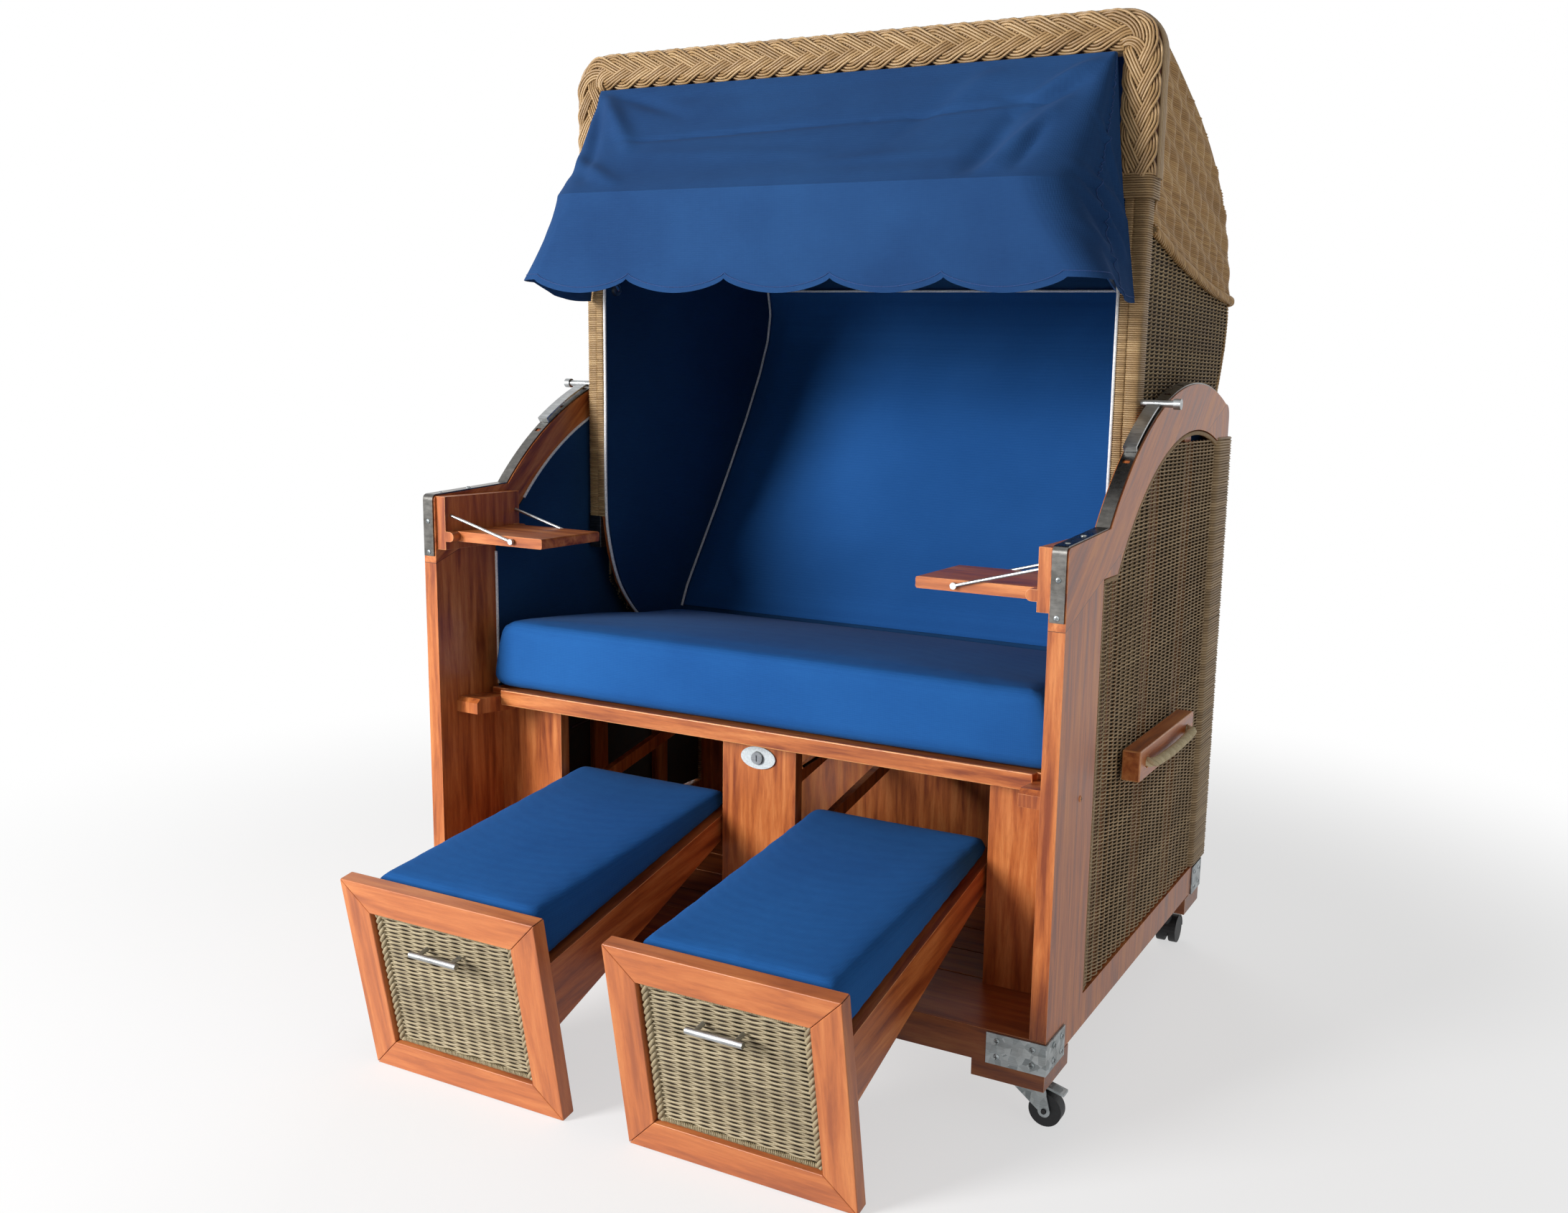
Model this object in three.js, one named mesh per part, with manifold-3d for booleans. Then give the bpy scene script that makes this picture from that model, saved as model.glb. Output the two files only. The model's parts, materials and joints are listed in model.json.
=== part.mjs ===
// A two-seat hooded beach chair: a wooden base on casters with wicker sides, a reclining wicker hood
// with an awning, two fold-down trays and two pull-out footrests. Lengths are in millimetres.
// X runs to the right as seen from the front, Y to the back, Z up. Left and right are as seen from the front.
import * as THREE from "three";
import { mergeVertices } from "three/addons/utils/BufferGeometryUtils.js";
import Module from "manifold-3d";

const wasm = await Module();
wasm.setup();

// Driving dimensions of the whole chair
const width = 1220; // over the side frames
const gap = 0.3; // between pieces that touch
const overrun = 6; // how far a cut runs past what it cuts
const weld = 0.0003; // points nearer than this are one
const runningGap = 0.6; // round a pin that turns in its hole

// Base: floor, side frames and their wicker
const sideThick = 27;
const baseDepth = 912; // side frames, front to back
const beamBottom = 112;
const beamHeight = 53;
const beamDepth = 80;
const railBottom = 120;
const railHeight = 57;
const postDepth = 166;
const postTop = 913;
const postRound = 9; // radius of the arm's front corner
const armStepHeight = 12; // the arm rises this much before its curve
const pivotBack = 670; // hood's pivot behind the front of the posts
const pivotHeight = 518;
const armRadius = 630; // arm's upper edge round the hood's pivot
const armBand = 82; // depth of the curved arm board
const armTailLength = 62; // rounded rear end of the arm
const columnTopDrop = 64.6; // wicker corner column's top below the arm's upper edge at its tail
const columnDepth = 82; // part of the base's depth that the column fills
const columnBulge = 30; // how far the column stands out behind the frame
const columnInset = 5; // column inside the side frame's inner face
const columnRoundShare = 1 / 3; // corner radius, of the column's width
const wickerProud = 2; // side wicker outside the side frame
const sideWickerThick = 16;
const battenThick = 10.5;
const battenWidth = 44;
const battenShares = [0.28, 0.5]; // plain battens along the base's depth
const floorThick = 14;
const boardCount = 8;
const grooveWidth = 4;
const grooveDepth = 5;
const footWidth = 120;
const footDepth = 106;
const footHeight = 27;
const bracketLeg = 96; // corner bracket along the beam
const bracketSideLeg = 80;
const bracketHeight = 50;
const bracketThick = 2.4;
const backWickerThick = 16;
const backWickerTop = 500;

// Seat
const seatFrontHeight = 547; // top of the seat rail
const seatSlope = THREE.MathUtils.degToRad(5);
const seatRailFront = 100;
const seatRailThick = 26;
const seatRailHeight = 29;
const seatBoardThick = 12;
const seatBoardBack = 645;
const cleatFront = 40;
const cleatBack = 590;
const cleatWidth = 45;
const cleatHeight = 28;
const cleatRound = 8;
const cushionFront = 102;
const cushionBack = 636;
const cushionHalf = 525;
const cushionThick = 134;
const cushionRound = 22;
const cushionCrown = 12;

// Front boards and footrest guides
const frontBoardFace = 158;
const frontBoardThick = 22;
const centreBoardWidth = 150;
const bayWidth = 364; // each opening beside the centre board
const guideThick = 14;
const guideHeight = 26;
const guideBack = 640;
const guideClear = 3; // between a guide and the footrest's box
const partitionThick = 15;
const partitionTop = 470;
const lockAcross = 70;
const lockUp = 40;
const lockPlateThick = 3;
const lockDrop = 37; // lock's centre below the seat rail
const lockRadius = 11;
const lockProud = 5;
const keySlotWidth = 2.4;

// Footrest, in its own frame: level, with its origin on the rear axle
const footrestTilt = THREE.MathUtils.degToRad(10.2);
const footrestReach = 550; // rear axle to the panel's front face
const footrestAxleBack = 203; // axle behind the posts when pulled out
const footrestAxleHeight = 345.5;
const footrestTravelBack = 321;
const footrestTravelUp = 70;
const panelWidth = 390;
const panelHeight = 344;
const panelThick = 25;
const panelTop = 93; // above the axle
const panelRim = 52;
const panelWickerThick = 12;
const panelWickerInset = 6;
const handleLength = 94;
const handlePostGap = 66;
const handleShift = -2; // handle's middle from the panel's middle
const handleDrop = 94;
const handleStandoff = 17;
const handleRadius = 5;
const handlePostRadius = 3.5;
const boxHalf = 176;
const boxSideThick = 15;
const boxFrontDepth = 111;
const boxRearDepth = 36;
const boxTopFront = -1; // upper edge, above the axle
const boxTopRear = 24;
const boxBoardThick = 12;
const boxTail = 20; // box behind the axle
const footrestCushionFrontTop = 88;
const footrestCushionRearTop = 55;
const footrestCushionTail = 8;
const footrestCushionInset = 4;
const footrestCushionRound = 14;
const axleRadius = 6;
const axleOverhang = 13;

// Trays
const trayWidth = 202.4; // inner edge to the hinge block
const trayFront = 22;
const trayDepth = 156;
const trayThick = 18;
const trayTop = 850;
const trayEdgeRound = 4;
const hingeBlockThick = 20;
const hingeBlockFront = 4;
const hingeBlockDepth = 190;
const hingeBlockBottom = 817;
const hingeBlockHeight = 95;
const trayPinRadius = 4;
const stayRadius = 2.6;
const stayDrop = 34; // wire stay's upper end below the top of the hinge block
const stayEndReach = 65; // from the tray's inner edge

// Steel on the arms, and the hood's latches
const stripWidth = 22;
const stripThick = 2.5;
const stripDrop = 108; // down the front of the post
const stripEndAngle = THREE.MathUtils.degToRad(76);
const armLiningThick = 3.7;
const armLiningBand = 50; // bare wood above the lining
const notchCount = 7;
const notchLength = 9;
const notchWidth = 12;
const notchFirstAngle = THREE.MathUtils.degToRad(127);
const notchStepAngle = THREE.MathUtils.degToRad(7.35);
const latchRadius = 6;
const latchBack = 431; // latch pin behind the posts
const latchRunGap = 3; // latch above the steel strip
const latchOverhang = 20; // pin beyond the side frame
const knobRadius = 9;
const knobLength = 12;
const strapWidth = 22;
const strapThick = 3.5;
const strapReachAngle = THREE.MathUtils.degToRad(13);

// Carry handles
const barFront = 303;
const barLength = 337;
const barThick = 34;
const barHeight = 52;
const barMiddleHeight = 524;
const ropeRadius = 8.5;
const ropeEndInset = 42;
const ropeStandoff = 13;
const ropeSag = 4;

// Hood
const hoodHalf = 574; // outside of the hood's side wicker
const hoodWickerThick = 14;
const hoodEdgeRound = 44;
const hoodFront = 410;
const frontFrameDepth = 42;
const wrappedPostWidth = 30;
const wrappedPostBottom = 848;
const braidWidth = 66;
const braidBottom = 1475; // the side braids end here
const braidTop = 1738;
const braidHalf = 584;
const braidRound = 46;
const hoodBoardThick = 12;
const hoodBoardFront = 7; // behind the front of the hood
const hoodLiningThick = 5.4;
const backPadThick = 12;
const backPadLowest = 632;
const backPadTop = 1336;
const braidProud = 8; // braid in front of the wrapped posts
const bossRadius = 52;
const bossReachShare = 0.8;
const bossDropShare = 0.6;
const pivotBoltRadius = 8;
const hoodDepth = 646; // shell behind the front of the hood
const hoodHeight = 1172; // shell's front edge above its lower edge
const hoodLowest = 560;
// The shell's side view, from the front edge of the roof round the back to its lower edge:
// shares of the hood's depth and height
const hoodOutlineShares = [
  [0.03, 1.0],
  [0.16, 0.985],
  [0.34, 0.955],
  [0.54, 0.915],
  [0.7, 0.87],
  [0.82, 0.82],
  [0.91, 0.76],
  [0.97, 0.69],
  [1.0, 0.62],
  [0.98, 0.555],
  [0.925, 0.485],
  [0.84, 0.4],
  [0.74, 0.31],
  [0.645, 0.228],
  [0.555, 0.155],
  [0.47, 0.085],
  [0.4, 0.0],
];
const hoodRibProud = 5; // ribs of the wicker in front of the strands between them
const hoodRibWidth = 8;
const hoodRibSpacing = 91;
const hoodRollProud = 4; // rolled border where the close weave ends
const hoodRollWidth = 15;
// The border's line along the side, from the front post to past the back, as the same shares
const hoodRollShares = [
  [0.06, 0.714],
  [0.32, 0.685],
  [0.66, 0.658],
  [1.02, 0.642],
];
// The hood board's lower front edge, from the front down to the pivot's boss: shares of the way
// from the board's front edge back to the pivot, and up from the pivot to the post's lower end
const boardCurveShares = [
  [0.0, 1.0],
  [0.06, 0.77],
  [0.16, 0.575],
  [0.33, 0.405],
  [0.56, 0.25],
];

// Awning and its bow
const awningThick = 3;
const awningTopHalf = 513;
const awningTopDrop = 5; // cloth's upper edge below the braid
const bowDrop = 215; // bow below the cloth's upper edge
const bowForward = 214; // bow in front of the hood
const bowHalf = 486; // awning's half width at the bow
const awningBottomHalf = 577;
const awningRearHalf = 556; // wings' rear edge at the bottom
const valanceDrop = 150; // lower edge below the bow
const awningCorner = 60;
const wingRise = -26; // wings' lower edge towards the hood
const scallopCount = 5;
const scallopDepth = 24;
const awningSag = 10;
const awningSteps = 50; // along the cloth
const awningRows = [3, 4]; // above and below the bow
const bowRadius = 6;
const bowPivotBack = 32;
const bowPivotDrop = 175; // studs below the ends of the braid
const bowEndThick = 6;
const studRadius = 4;
const awningCornerShare = 0.4; // of the wing's depth
const scallopPower = 0.7;
const flarePower = 1.3;

// Casters
const casterInset = 45; // swivel axis from the side
const casterEndInset = 62; // swivel behind the front, and in front of the back
const wheelRadius = 27;
const casterTrail = 30;
const wheelWidth = 20;
const wheelAxleRadius = 4;
const forkThick = 2.5;
const forkClear = 2;
const forkLowRadius = 10;
const forkTopWidth = 52;
const forkTop = 72;
const plateThick = 3;
const stemRadius = 9;
const brakeLength = 34;
const brakeThick = 4;
const brakeDrop = 12; // brake lever's outer end below its root
const stemPlateRadius = 24;
const rearCasterTurn = Math.PI / 2;
const twinTrail = 17;
const twinWheelWidth = 15;
const twinWebThick = 10;
const twinCoverRadius = 31;
const twinCoverThick = 3;

// Derived places
const half = width / 2;
const innerFace = half - sideThick;
const beamTop = beamBottom + beamHeight;
const railTop = railBottom + railHeight;
const armInnerRadius = armRadius - armBand;
const columnFront = baseDepth - columnDepth;
const stayHeight = hingeBlockBottom + hingeBlockHeight - stayDrop;
const wrapInner = hoodHalf - wrappedPostWidth;
const boardOuter = wrapInner - gap;
const boardInner = boardOuter - hoodBoardThick;
const liningInner = boardInner - gap - hoodLiningThick;
const hoodBehind = hoodFront + frontFrameDepth + gap;
const bayCentre = (centreBoardWidth + bayWidth) / 2;
const awningTopHeight = braidTop - braidWidth - awningTopDrop;
const bowHeight = awningTopHeight - bowDrop;
const awningBottomHeight = bowHeight - valanceDrop;
const bowPivotHeight = braidBottom - bowPivotDrop;
const floorTop = beamTop - grooveDepth;
const footBottom = beamBottom - footHeight;
const frontBoardBack = frontBoardFace + frontBoardThick;

// Materials
const material = (color, roughness, metalness) =>
  new THREE.MeshStandardMaterial({ color, roughness, metalness });
const wood = material(0xa8512a, 0.4, 0);
const darkWood = material(0x7d4030, 0.45, 0);
const wicker = material(0x8d7450, 0.7, 0);
const darkWicker = material(0x5e4a33, 0.75, 0);
const cloth = material(0x1d3f7a, 0.85, 0);
const darkCloth = material(0x16284d, 0.85, 0);
const steel = material(0x9a9c9e, 0.3, 1);
const zinc = material(0xa9b0b3, 0.45, 0.9);
const rope = material(0xd9c8a0, 0.9, 0);
const blackPlastic = material(0x1c1f22, 0.5, 0);

// A three.js geometry as a solid
function solid(geometry) {
  const bare = geometry.index ? geometry.toNonIndexed() : geometry.clone();
  bare.deleteAttribute("normal");
  bare.deleteAttribute("uv");
  const merged = mergeVertices(bare, weld);
  return new wasm.Manifold(
    new wasm.Mesh({
      numProp: 3,
      vertProperties: merged.attributes.position.array,
      triVerts: new Uint32Array(merged.index.array),
    }),
  );
}

function geometryOf(body) {
  const mesh = body.getMesh();
  const places = new Float32Array(mesh.numVert * 3);
  for (let i = 0; i < mesh.numVert; i++)
    for (let k = 0; k < 3; k++)
      places[3 * i + k] = mesh.vertProperties[i * mesh.numProp + k];
  const geometry = new THREE.BufferGeometry();
  geometry.setAttribute("position", new THREE.BufferAttribute(places, 3));
  geometry.setIndex(new THREE.BufferAttribute(new Uint32Array(mesh.triVerts), 1));
  geometry.computeVertexNormals();
  return geometry;
}

const join = (bodies) => bodies.reduce((a, b) => a.add(b));
const cut = (body, cutters) => cutters.reduce((a, b) => a.subtract(b), body);

function box(x0, x1, y0, y1, z0, z1) {
  const geometry = new THREE.BoxGeometry(x1 - x0, y1 - y0, z1 - z0);
  geometry.translate((x0 + x1) / 2, (y0 + y1) / 2, (z0 + z1) / 2);
  return solid(geometry);
}

// A shape whose own axes are Y and Z, given thickness from x0 to x1
function sidePlate(shape, x0, x1, curveSegments = 20, bevel = {}) {
  const geometry = new THREE.ExtrudeGeometry(shape, {
    depth: x1 - x0,
    bevelEnabled: false,
    curveSegments,
    ...bevel,
  });
  const turn = new THREE.Matrix4().makeBasis(
    new THREE.Vector3(0, 1, 0),
    new THREE.Vector3(0, 0, 1),
    new THREE.Vector3(1, 0, 0),
  );
  geometry.applyMatrix4(turn);
  geometry.translate(x0, 0, 0);
  return solid(geometry);
}

// A shape whose own axes are X and Z, given thickness from y0 to y1
function frontPlate(shape, y0, y1, curveSegments = 12) {
  const geometry = new THREE.ExtrudeGeometry(shape, {
    depth: y1 - y0,
    bevelEnabled: false,
    curveSegments,
  });
  const turn = new THREE.Matrix4().makeBasis(
    new THREE.Vector3(1, 0, 0),
    new THREE.Vector3(0, 0, 1),
    new THREE.Vector3(0, -1, 0),
  );
  geometry.applyMatrix4(turn);
  geometry.translate(0, y1, 0);
  return solid(geometry);
}

// A round bar along one axis, from low to high, through the point given by the other two
function bar(axis, low, high, a, b, radius, sides = 24) {
  const geometry = new THREE.CylinderGeometry(radius, radius, high - low, sides);
  const middle = (low + high) / 2;
  if (axis === "x") geometry.rotateZ(Math.PI / 2).translate(middle, a, b);
  if (axis === "y") geometry.translate(a, middle, b);
  if (axis === "z") geometry.rotateX(Math.PI / 2).translate(a, b, middle);
  return solid(geometry);
}

// A round tube along a curve
function tube(points, radius, steps, sides = 8) {
  const ring = new THREE.Shape();
  ring.absarc(0, 0, radius, 0, Math.PI * 2);
  const geometry = new THREE.ExtrudeGeometry(ring, {
    extrudePath: points,
    steps,
    curveSegments: sides,
    bevelEnabled: false,
  });
  return solid(geometry);
}

function polygon(points) {
  return new THREE.Shape(points.map(([a, b]) => new THREE.Vector2(a, b)));
}

function roundedRectangle(x0, x1, y0, y1, radius) {
  const shape = new THREE.Shape();
  shape.moveTo(x0 + radius, y0);
  shape.lineTo(x1 - radius, y0);
  shape.absarc(x1 - radius, y0 + radius, radius, -Math.PI / 2, 0);
  shape.lineTo(x1, y1 - radius);
  shape.absarc(x1 - radius, y1 - radius, radius, 0, Math.PI / 2);
  shape.lineTo(x0 + radius, y1);
  shape.absarc(x0 + radius, y1 - radius, radius, Math.PI / 2, Math.PI);
  shape.lineTo(x0, y0 + radius);
  shape.absarc(x0 + radius, y0 + radius, radius, Math.PI, Math.PI * 1.5);
  return shape;
}

// The mirror image of a right-hand body on the left
const mirrored = (body) => body.mirror([1, 0, 0]);

const chair = new THREE.Group();

function place(name, body, look, parent = chair) {
  const mesh = new THREE.Mesh(geometryOf(body), look);
  mesh.name = name;
  parent.add(mesh);
  return mesh;
}

// A right-hand piece and its mirror image
function placePair(name, body, look) {
  place(`right_${name}`, body, look);
  place(`left_${name}`, mirrored(body), look);
}

const angleAt = (back, radius) => Math.acos((back - pivotBack) / radius);
const heightAt = (back, radius) =>
  pivotHeight + Math.sqrt(radius ** 2 - (back - pivotBack) ** 2);
const armTailFront = baseDepth - armTailLength / 2;
const armTailHeight = heightAt(armTailFront, armRadius);
const columnTop = armTailHeight - columnTopDrop;
const seatTopAt = (back) =>
  seatFrontHeight - Math.tan(seatSlope) * (back - seatRailFront);

// Side frame: post, curved arm and bottom rail in one plane, battens behind the wicker, and the cleat
// that carries the seat
const armCurveFront = pivotBack - Math.sqrt(armRadius ** 2 - (postTop + armStepHeight - pivotHeight) ** 2);
const stepHeight = heightAt(postDepth + armBand - cleatHeight / 2, armInnerRadius);
const armCurveInnerFront = pivotBack - Math.sqrt(armInnerRadius ** 2 - (stepHeight - pivotHeight) ** 2);

function sideFrameShape() {
  const shape = new THREE.Shape();
  shape.moveTo(0, beamTop + gap);
  shape.lineTo(beamDepth + gap, beamTop + gap);
  shape.lineTo(beamDepth + gap, railBottom);
  shape.lineTo(baseDepth - beamDepth - gap, railBottom);
  shape.lineTo(baseDepth - beamDepth - gap, beamTop + gap);
  shape.lineTo(baseDepth, beamTop + gap);
  shape.lineTo(baseDepth, railTop);
  shape.lineTo(postDepth, railTop);
  shape.lineTo(postDepth, stepHeight);
  shape.lineTo(armCurveInnerFront, stepHeight);
  shape.absarc(
    pivotBack,
    pivotHeight,
    armInnerRadius,
    angleAt(armCurveInnerFront, armInnerRadius),
    angleAt(columnFront, armInnerRadius),
    true,
  );
  shape.lineTo(columnFront, columnTop + gap);
  shape.lineTo(baseDepth, columnTop + gap);
  shape.lineTo(baseDepth, armTailHeight - armTailLength / 2);
  shape.quadraticCurveTo(baseDepth, armTailHeight, armTailFront, armTailHeight);
  shape.absarc(
    pivotBack,
    pivotHeight,
    armRadius,
    angleAt(armTailFront, armRadius),
    angleAt(armCurveFront, armRadius),
  );
  shape.lineTo(postRound, postTop);
  shape.quadraticCurveTo(0, postTop, 0, postTop - postRound);
  return shape;
}

function cleat() {
  const under = (back) => seatTopAt(back) - seatBoardThick - gap;
  const shape = polygon([
    [cleatFront, under(cleatFront) - cleatHeight],
    [cleatBack, under(cleatBack) - cleatHeight],
    [cleatBack, under(cleatBack)],
    [cleatFront + cleatRound, under(cleatFront + cleatRound)],
    [cleatFront, under(cleatFront) - cleatRound],
  ]);
  return sidePlate(shape, innerFace - cleatWidth - columnInset, innerFace);
}

function batten(middle) {
  return box(
    innerFace,
    innerFace + battenThick,
    middle - battenWidth / 2,
    middle + battenWidth / 2,
    railTop - overrun,
    heightAt(middle, armInnerRadius) + overrun,
  );
}

function sideFrame() {
  const middles = [...battenShares.map((share) => share * baseDepth), pivotBack];
  const body = join([
    sidePlate(sideFrameShape(), innerFace, half, 18),
    ...middles.map(batten),
    cleat(),
  ]);
  const boltHole = bar("x", innerFace - overrun, half, pivotBack, pivotHeight, pivotBoltRadius + gap);
  return cut(body, [boltHole]);
}
placePair("side_frame", sideFrame(), wood);

// Side wicker: the panel inside the frame, one with the column wound round the rear corner
function sideWicker() {
  const outer = half + wickerProud;
  const radius = armInnerRadius - gap;
  const shape = new THREE.Shape();
  shape.moveTo(postDepth + gap, railTop + gap);
  shape.lineTo(columnFront + columnDepth / 2, railTop + gap);
  shape.lineTo(columnFront + columnDepth / 2, columnTop);
  shape.lineTo(columnFront + gap, columnTop);
  shape.absarc(
    pivotBack,
    pivotHeight,
    radius,
    angleAt(columnFront + gap, radius),
    angleAt(armCurveInnerFront + gap, radius),
  );
  shape.lineTo(armCurveInnerFront + gap, stepHeight - gap);
  shape.lineTo(postDepth + gap, stepHeight - gap);
  const panel = sidePlate(shape, outer - sideWickerThick, outer, 32);
  const columnBack = baseDepth + columnBulge;
  const columnWide = outer + wickerProud - innerFace + columnInset;
  const geometry = new THREE.ExtrudeGeometry(
    roundedRectangle(
      innerFace - columnInset,
      outer + wickerProud,
      columnFront + gap,
      columnBack,
      columnWide * columnRoundShare,
    ),
    { depth: columnTop - railTop - gap, bevelEnabled: false, curveSegments: 5 },
  );
  geometry.translate(0, 0, railTop + gap);
  return join([panel, solid(geometry)]);
}
placePair("side_wicker", sideWicker(), darkWicker);

// Blue lining on the inside of each arm
function armLining() {
  const radius = armRadius - armLiningBand;
  const front = postDepth - cleatRound * 2;
  const curveFront = armCurveInnerFront;
  const under = (back) => seatTopAt(back) - seatBoardThick + gap;
  const back = baseDepth - cleatRound;
  const shape = new THREE.Shape();
  shape.moveTo(front, under(front));
  shape.lineTo(back, under(back));
  shape.lineTo(back, heightAt(back, radius));
  shape.absarc(pivotBack, pivotHeight, radius, angleAt(back, radius), angleAt(curveFront, radius));
  shape.lineTo(front, heightAt(curveFront, radius) - (curveFront - front));
  const body = sidePlate(shape, innerFace - gap - armLiningThick, innerFace - gap, 28);
  return cut(body, [
    bar("x", innerFace - overrun, half, pivotBack, pivotHeight, pivotBoltRadius + gap),
    box(
      innerFace - cleatRound,
      innerFace,
      0,
      hingeBlockFront + hingeBlockDepth + gap,
      hingeBlockBottom - gap,
      hingeBlockBottom + hingeBlockHeight + gap,
    ),
    box(innerFace - columnInset + 2 * gap, innerFace, columnFront - gap, baseDepth, railTop, columnTop + gap),
  ]);
}
placePair("arm_lining", armLining(), darkCloth);

// Steel strip over the arm, with the notches that hold the hood
const stripMiddle = innerFace + sideThick / 2;
function armStrip() {
  const inner = armRadius + gap;
  const outer = inner + stripThick;
  const faceIn = -gap;
  const faceOut = faceIn - stripThick;
  const startAngle = angleAt(armCurveFront, armRadius);
  const lift = (offset) => postTop + offset;
  const startAt = (radius) => [
    pivotBack + radius * Math.cos(startAngle),
    pivotHeight + radius * Math.sin(startAngle),
  ];
  const shape = new THREE.Shape();
  shape.moveTo(faceOut, postTop - stripDrop);
  shape.lineTo(faceIn, postTop - stripDrop);
  shape.lineTo(faceIn, postTop - postRound);
  shape.quadraticCurveTo(faceIn, lift(gap), postRound, lift(gap));
  shape.lineTo(...startAt(inner));
  shape.absarc(pivotBack, pivotHeight, inner, startAngle, stripEndAngle, true);
  shape.absarc(pivotBack, pivotHeight, outer, stripEndAngle, startAngle);
  shape.lineTo(postRound, lift(gap + stripThick));
  shape.quadraticCurveTo(faceOut, lift(gap + stripThick), faceOut, postTop - postRound);
  const body = sidePlate(shape, stripMiddle - stripWidth / 2, stripMiddle + stripWidth / 2, 18);
  const notches = [];
  for (let i = 0; i < notchCount; i++) {
    const geometry = new THREE.BoxGeometry(notchWidth, notchLength, stripThick + overrun);
    const angle = notchFirstAngle - i * notchStepAngle;
    geometry.rotateX(angle - Math.PI / 2);
    const radius = (inner + outer) / 2;
    geometry.translate(
      stripMiddle,
      pivotBack + radius * Math.cos(angle),
      pivotHeight + radius * Math.sin(angle),
    );
    notches.push(solid(geometry));
  }
  return cut(body, notches);
}
placePair("arm_strip", armStrip(), steel);

// Floor: two beams, the boards between them and a foot block at each corner
function floorFrame() {
  const boardsBottom = beamTop - floorThick - grooveDepth;
  const boardsFront = beamDepth - overrun;
  const boardsBack = baseDepth - beamDepth + overrun;
  const pieces = [
    box(-half, half, 0, beamDepth, beamBottom, beamTop),
    box(-half, half, baseDepth - beamDepth, baseDepth, beamBottom, beamTop),
    box(-innerFace + gap, innerFace - gap, boardsFront, boardsBack, boardsBottom, boardsBottom + floorThick),
  ];
  for (const side of [-1, 1])
    for (const front of [0, baseDepth - footDepth]) {
      const x0 = side < 0 ? -half : half - footWidth;
      const x1 = x0 + footWidth;
      pieces.push(box(x0, x1, front, front + footDepth, footBottom, beamBottom + overrun));
    }
  const grooves = [];
  const pitch = (baseDepth - 2 * beamDepth) / boardCount;
  for (let i = 1; i < boardCount; i++) {
    const middle = beamDepth + i * pitch;
    const top = boardsBottom + floorThick;
    grooves.push(
      box(-half, half, middle - grooveWidth / 2, middle + grooveWidth / 2, top - grooveDepth, top + overrun),
    );
  }
  const stems = casterPlaces.map(([x, y]) =>
    bar("z", beamBottom - footHeight - overrun, beamBottom, x, y, stemRadius + runningGap),
  );
  return cut(join(pieces), [...grooves, ...stems]);
}
const casterPlaces = [
  [-(half - casterInset), casterEndInset],
  [half - casterInset, casterEndInset],
  [-(half - casterInset), baseDepth - casterEndInset],
  [half - casterInset, baseDepth - casterEndInset],
];
place("floor_frame", floorFrame(), darkWood);

// Galvanised corner brackets round the front beam's ends
function bracket() {
  const outer = half + gap;
  const end = outer + bracketThick;
  const out = -gap - bracketThick;
  const top = beamBottom + bracketHeight;
  return join([
    box(outer - bracketLeg, end, out, -gap, beamBottom, top),
    box(outer, end, out, bracketSideLeg - gap, beamBottom, top),
  ]);
}
placePair("front_bracket", bracket(), zinc);

// Low wicker wall across the back of the base
place(
  "back_wicker",
  box(
    -innerFace + columnInset + gap,
    innerFace - columnInset - gap,
    baseDepth,
    baseDepth + backWickerThick,
    railTop + gap,
    backWickerTop,
  ).add(
    box(
      -innerFace + columnInset + gap,
      innerFace - columnInset - gap,
      baseDepth - backWickerThick,
      baseDepth + gap,
      beamTop + gap,
      railTop + beamHeight,
    ),
  ),
  darkWicker,
);

// Seat frame: the front rail and the board that slopes back from it
function seatFrame() {
  const railHalf = innerFace - cleatWidth - columnInset - gap;
  const boardHalf = innerFace - armLiningThick - 2 * gap - cleatRound;
  const board = (front, back) =>
    polygon([
      [front, seatTopAt(front) - seatBoardThick],
      [back, seatTopAt(back) - seatBoardThick],
      [back, seatTopAt(back)],
      [front, seatTopAt(front)],
    ]);
  const behindRail = seatRailFront + seatRailThick;
  const underRail = seatFrontHeight - seatRailHeight;
  const rail = polygon([
    [seatRailFront, underRail],
    [behindRail, underRail],
    [behindRail, seatTopAt(behindRail)],
    [seatRailFront, seatFrontHeight],
  ]);
  return join([
    sidePlate(rail, -railHalf, railHalf),
    sidePlate(board(behindRail - overrun, cleatBack), -boardHalf, boardHalf),
    sidePlate(board(behindRail - overrun, seatBoardBack), -cushionHalf, cushionHalf),
  ]);
}
place("seat_frame", seatFrame(), wood);

// Front boards with the two footrest bays, the guides that carry the footrests' axles, and the partition
// behind them
const guideRise = footrestTravelUp / footrestTravelBack;
const guideTopAt = (back) =>
  footrestAxleHeight +
  guideRise * (back - footrestAxleBack) -
  (axleRadius + gap) * Math.hypot(1, guideRise);

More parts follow.
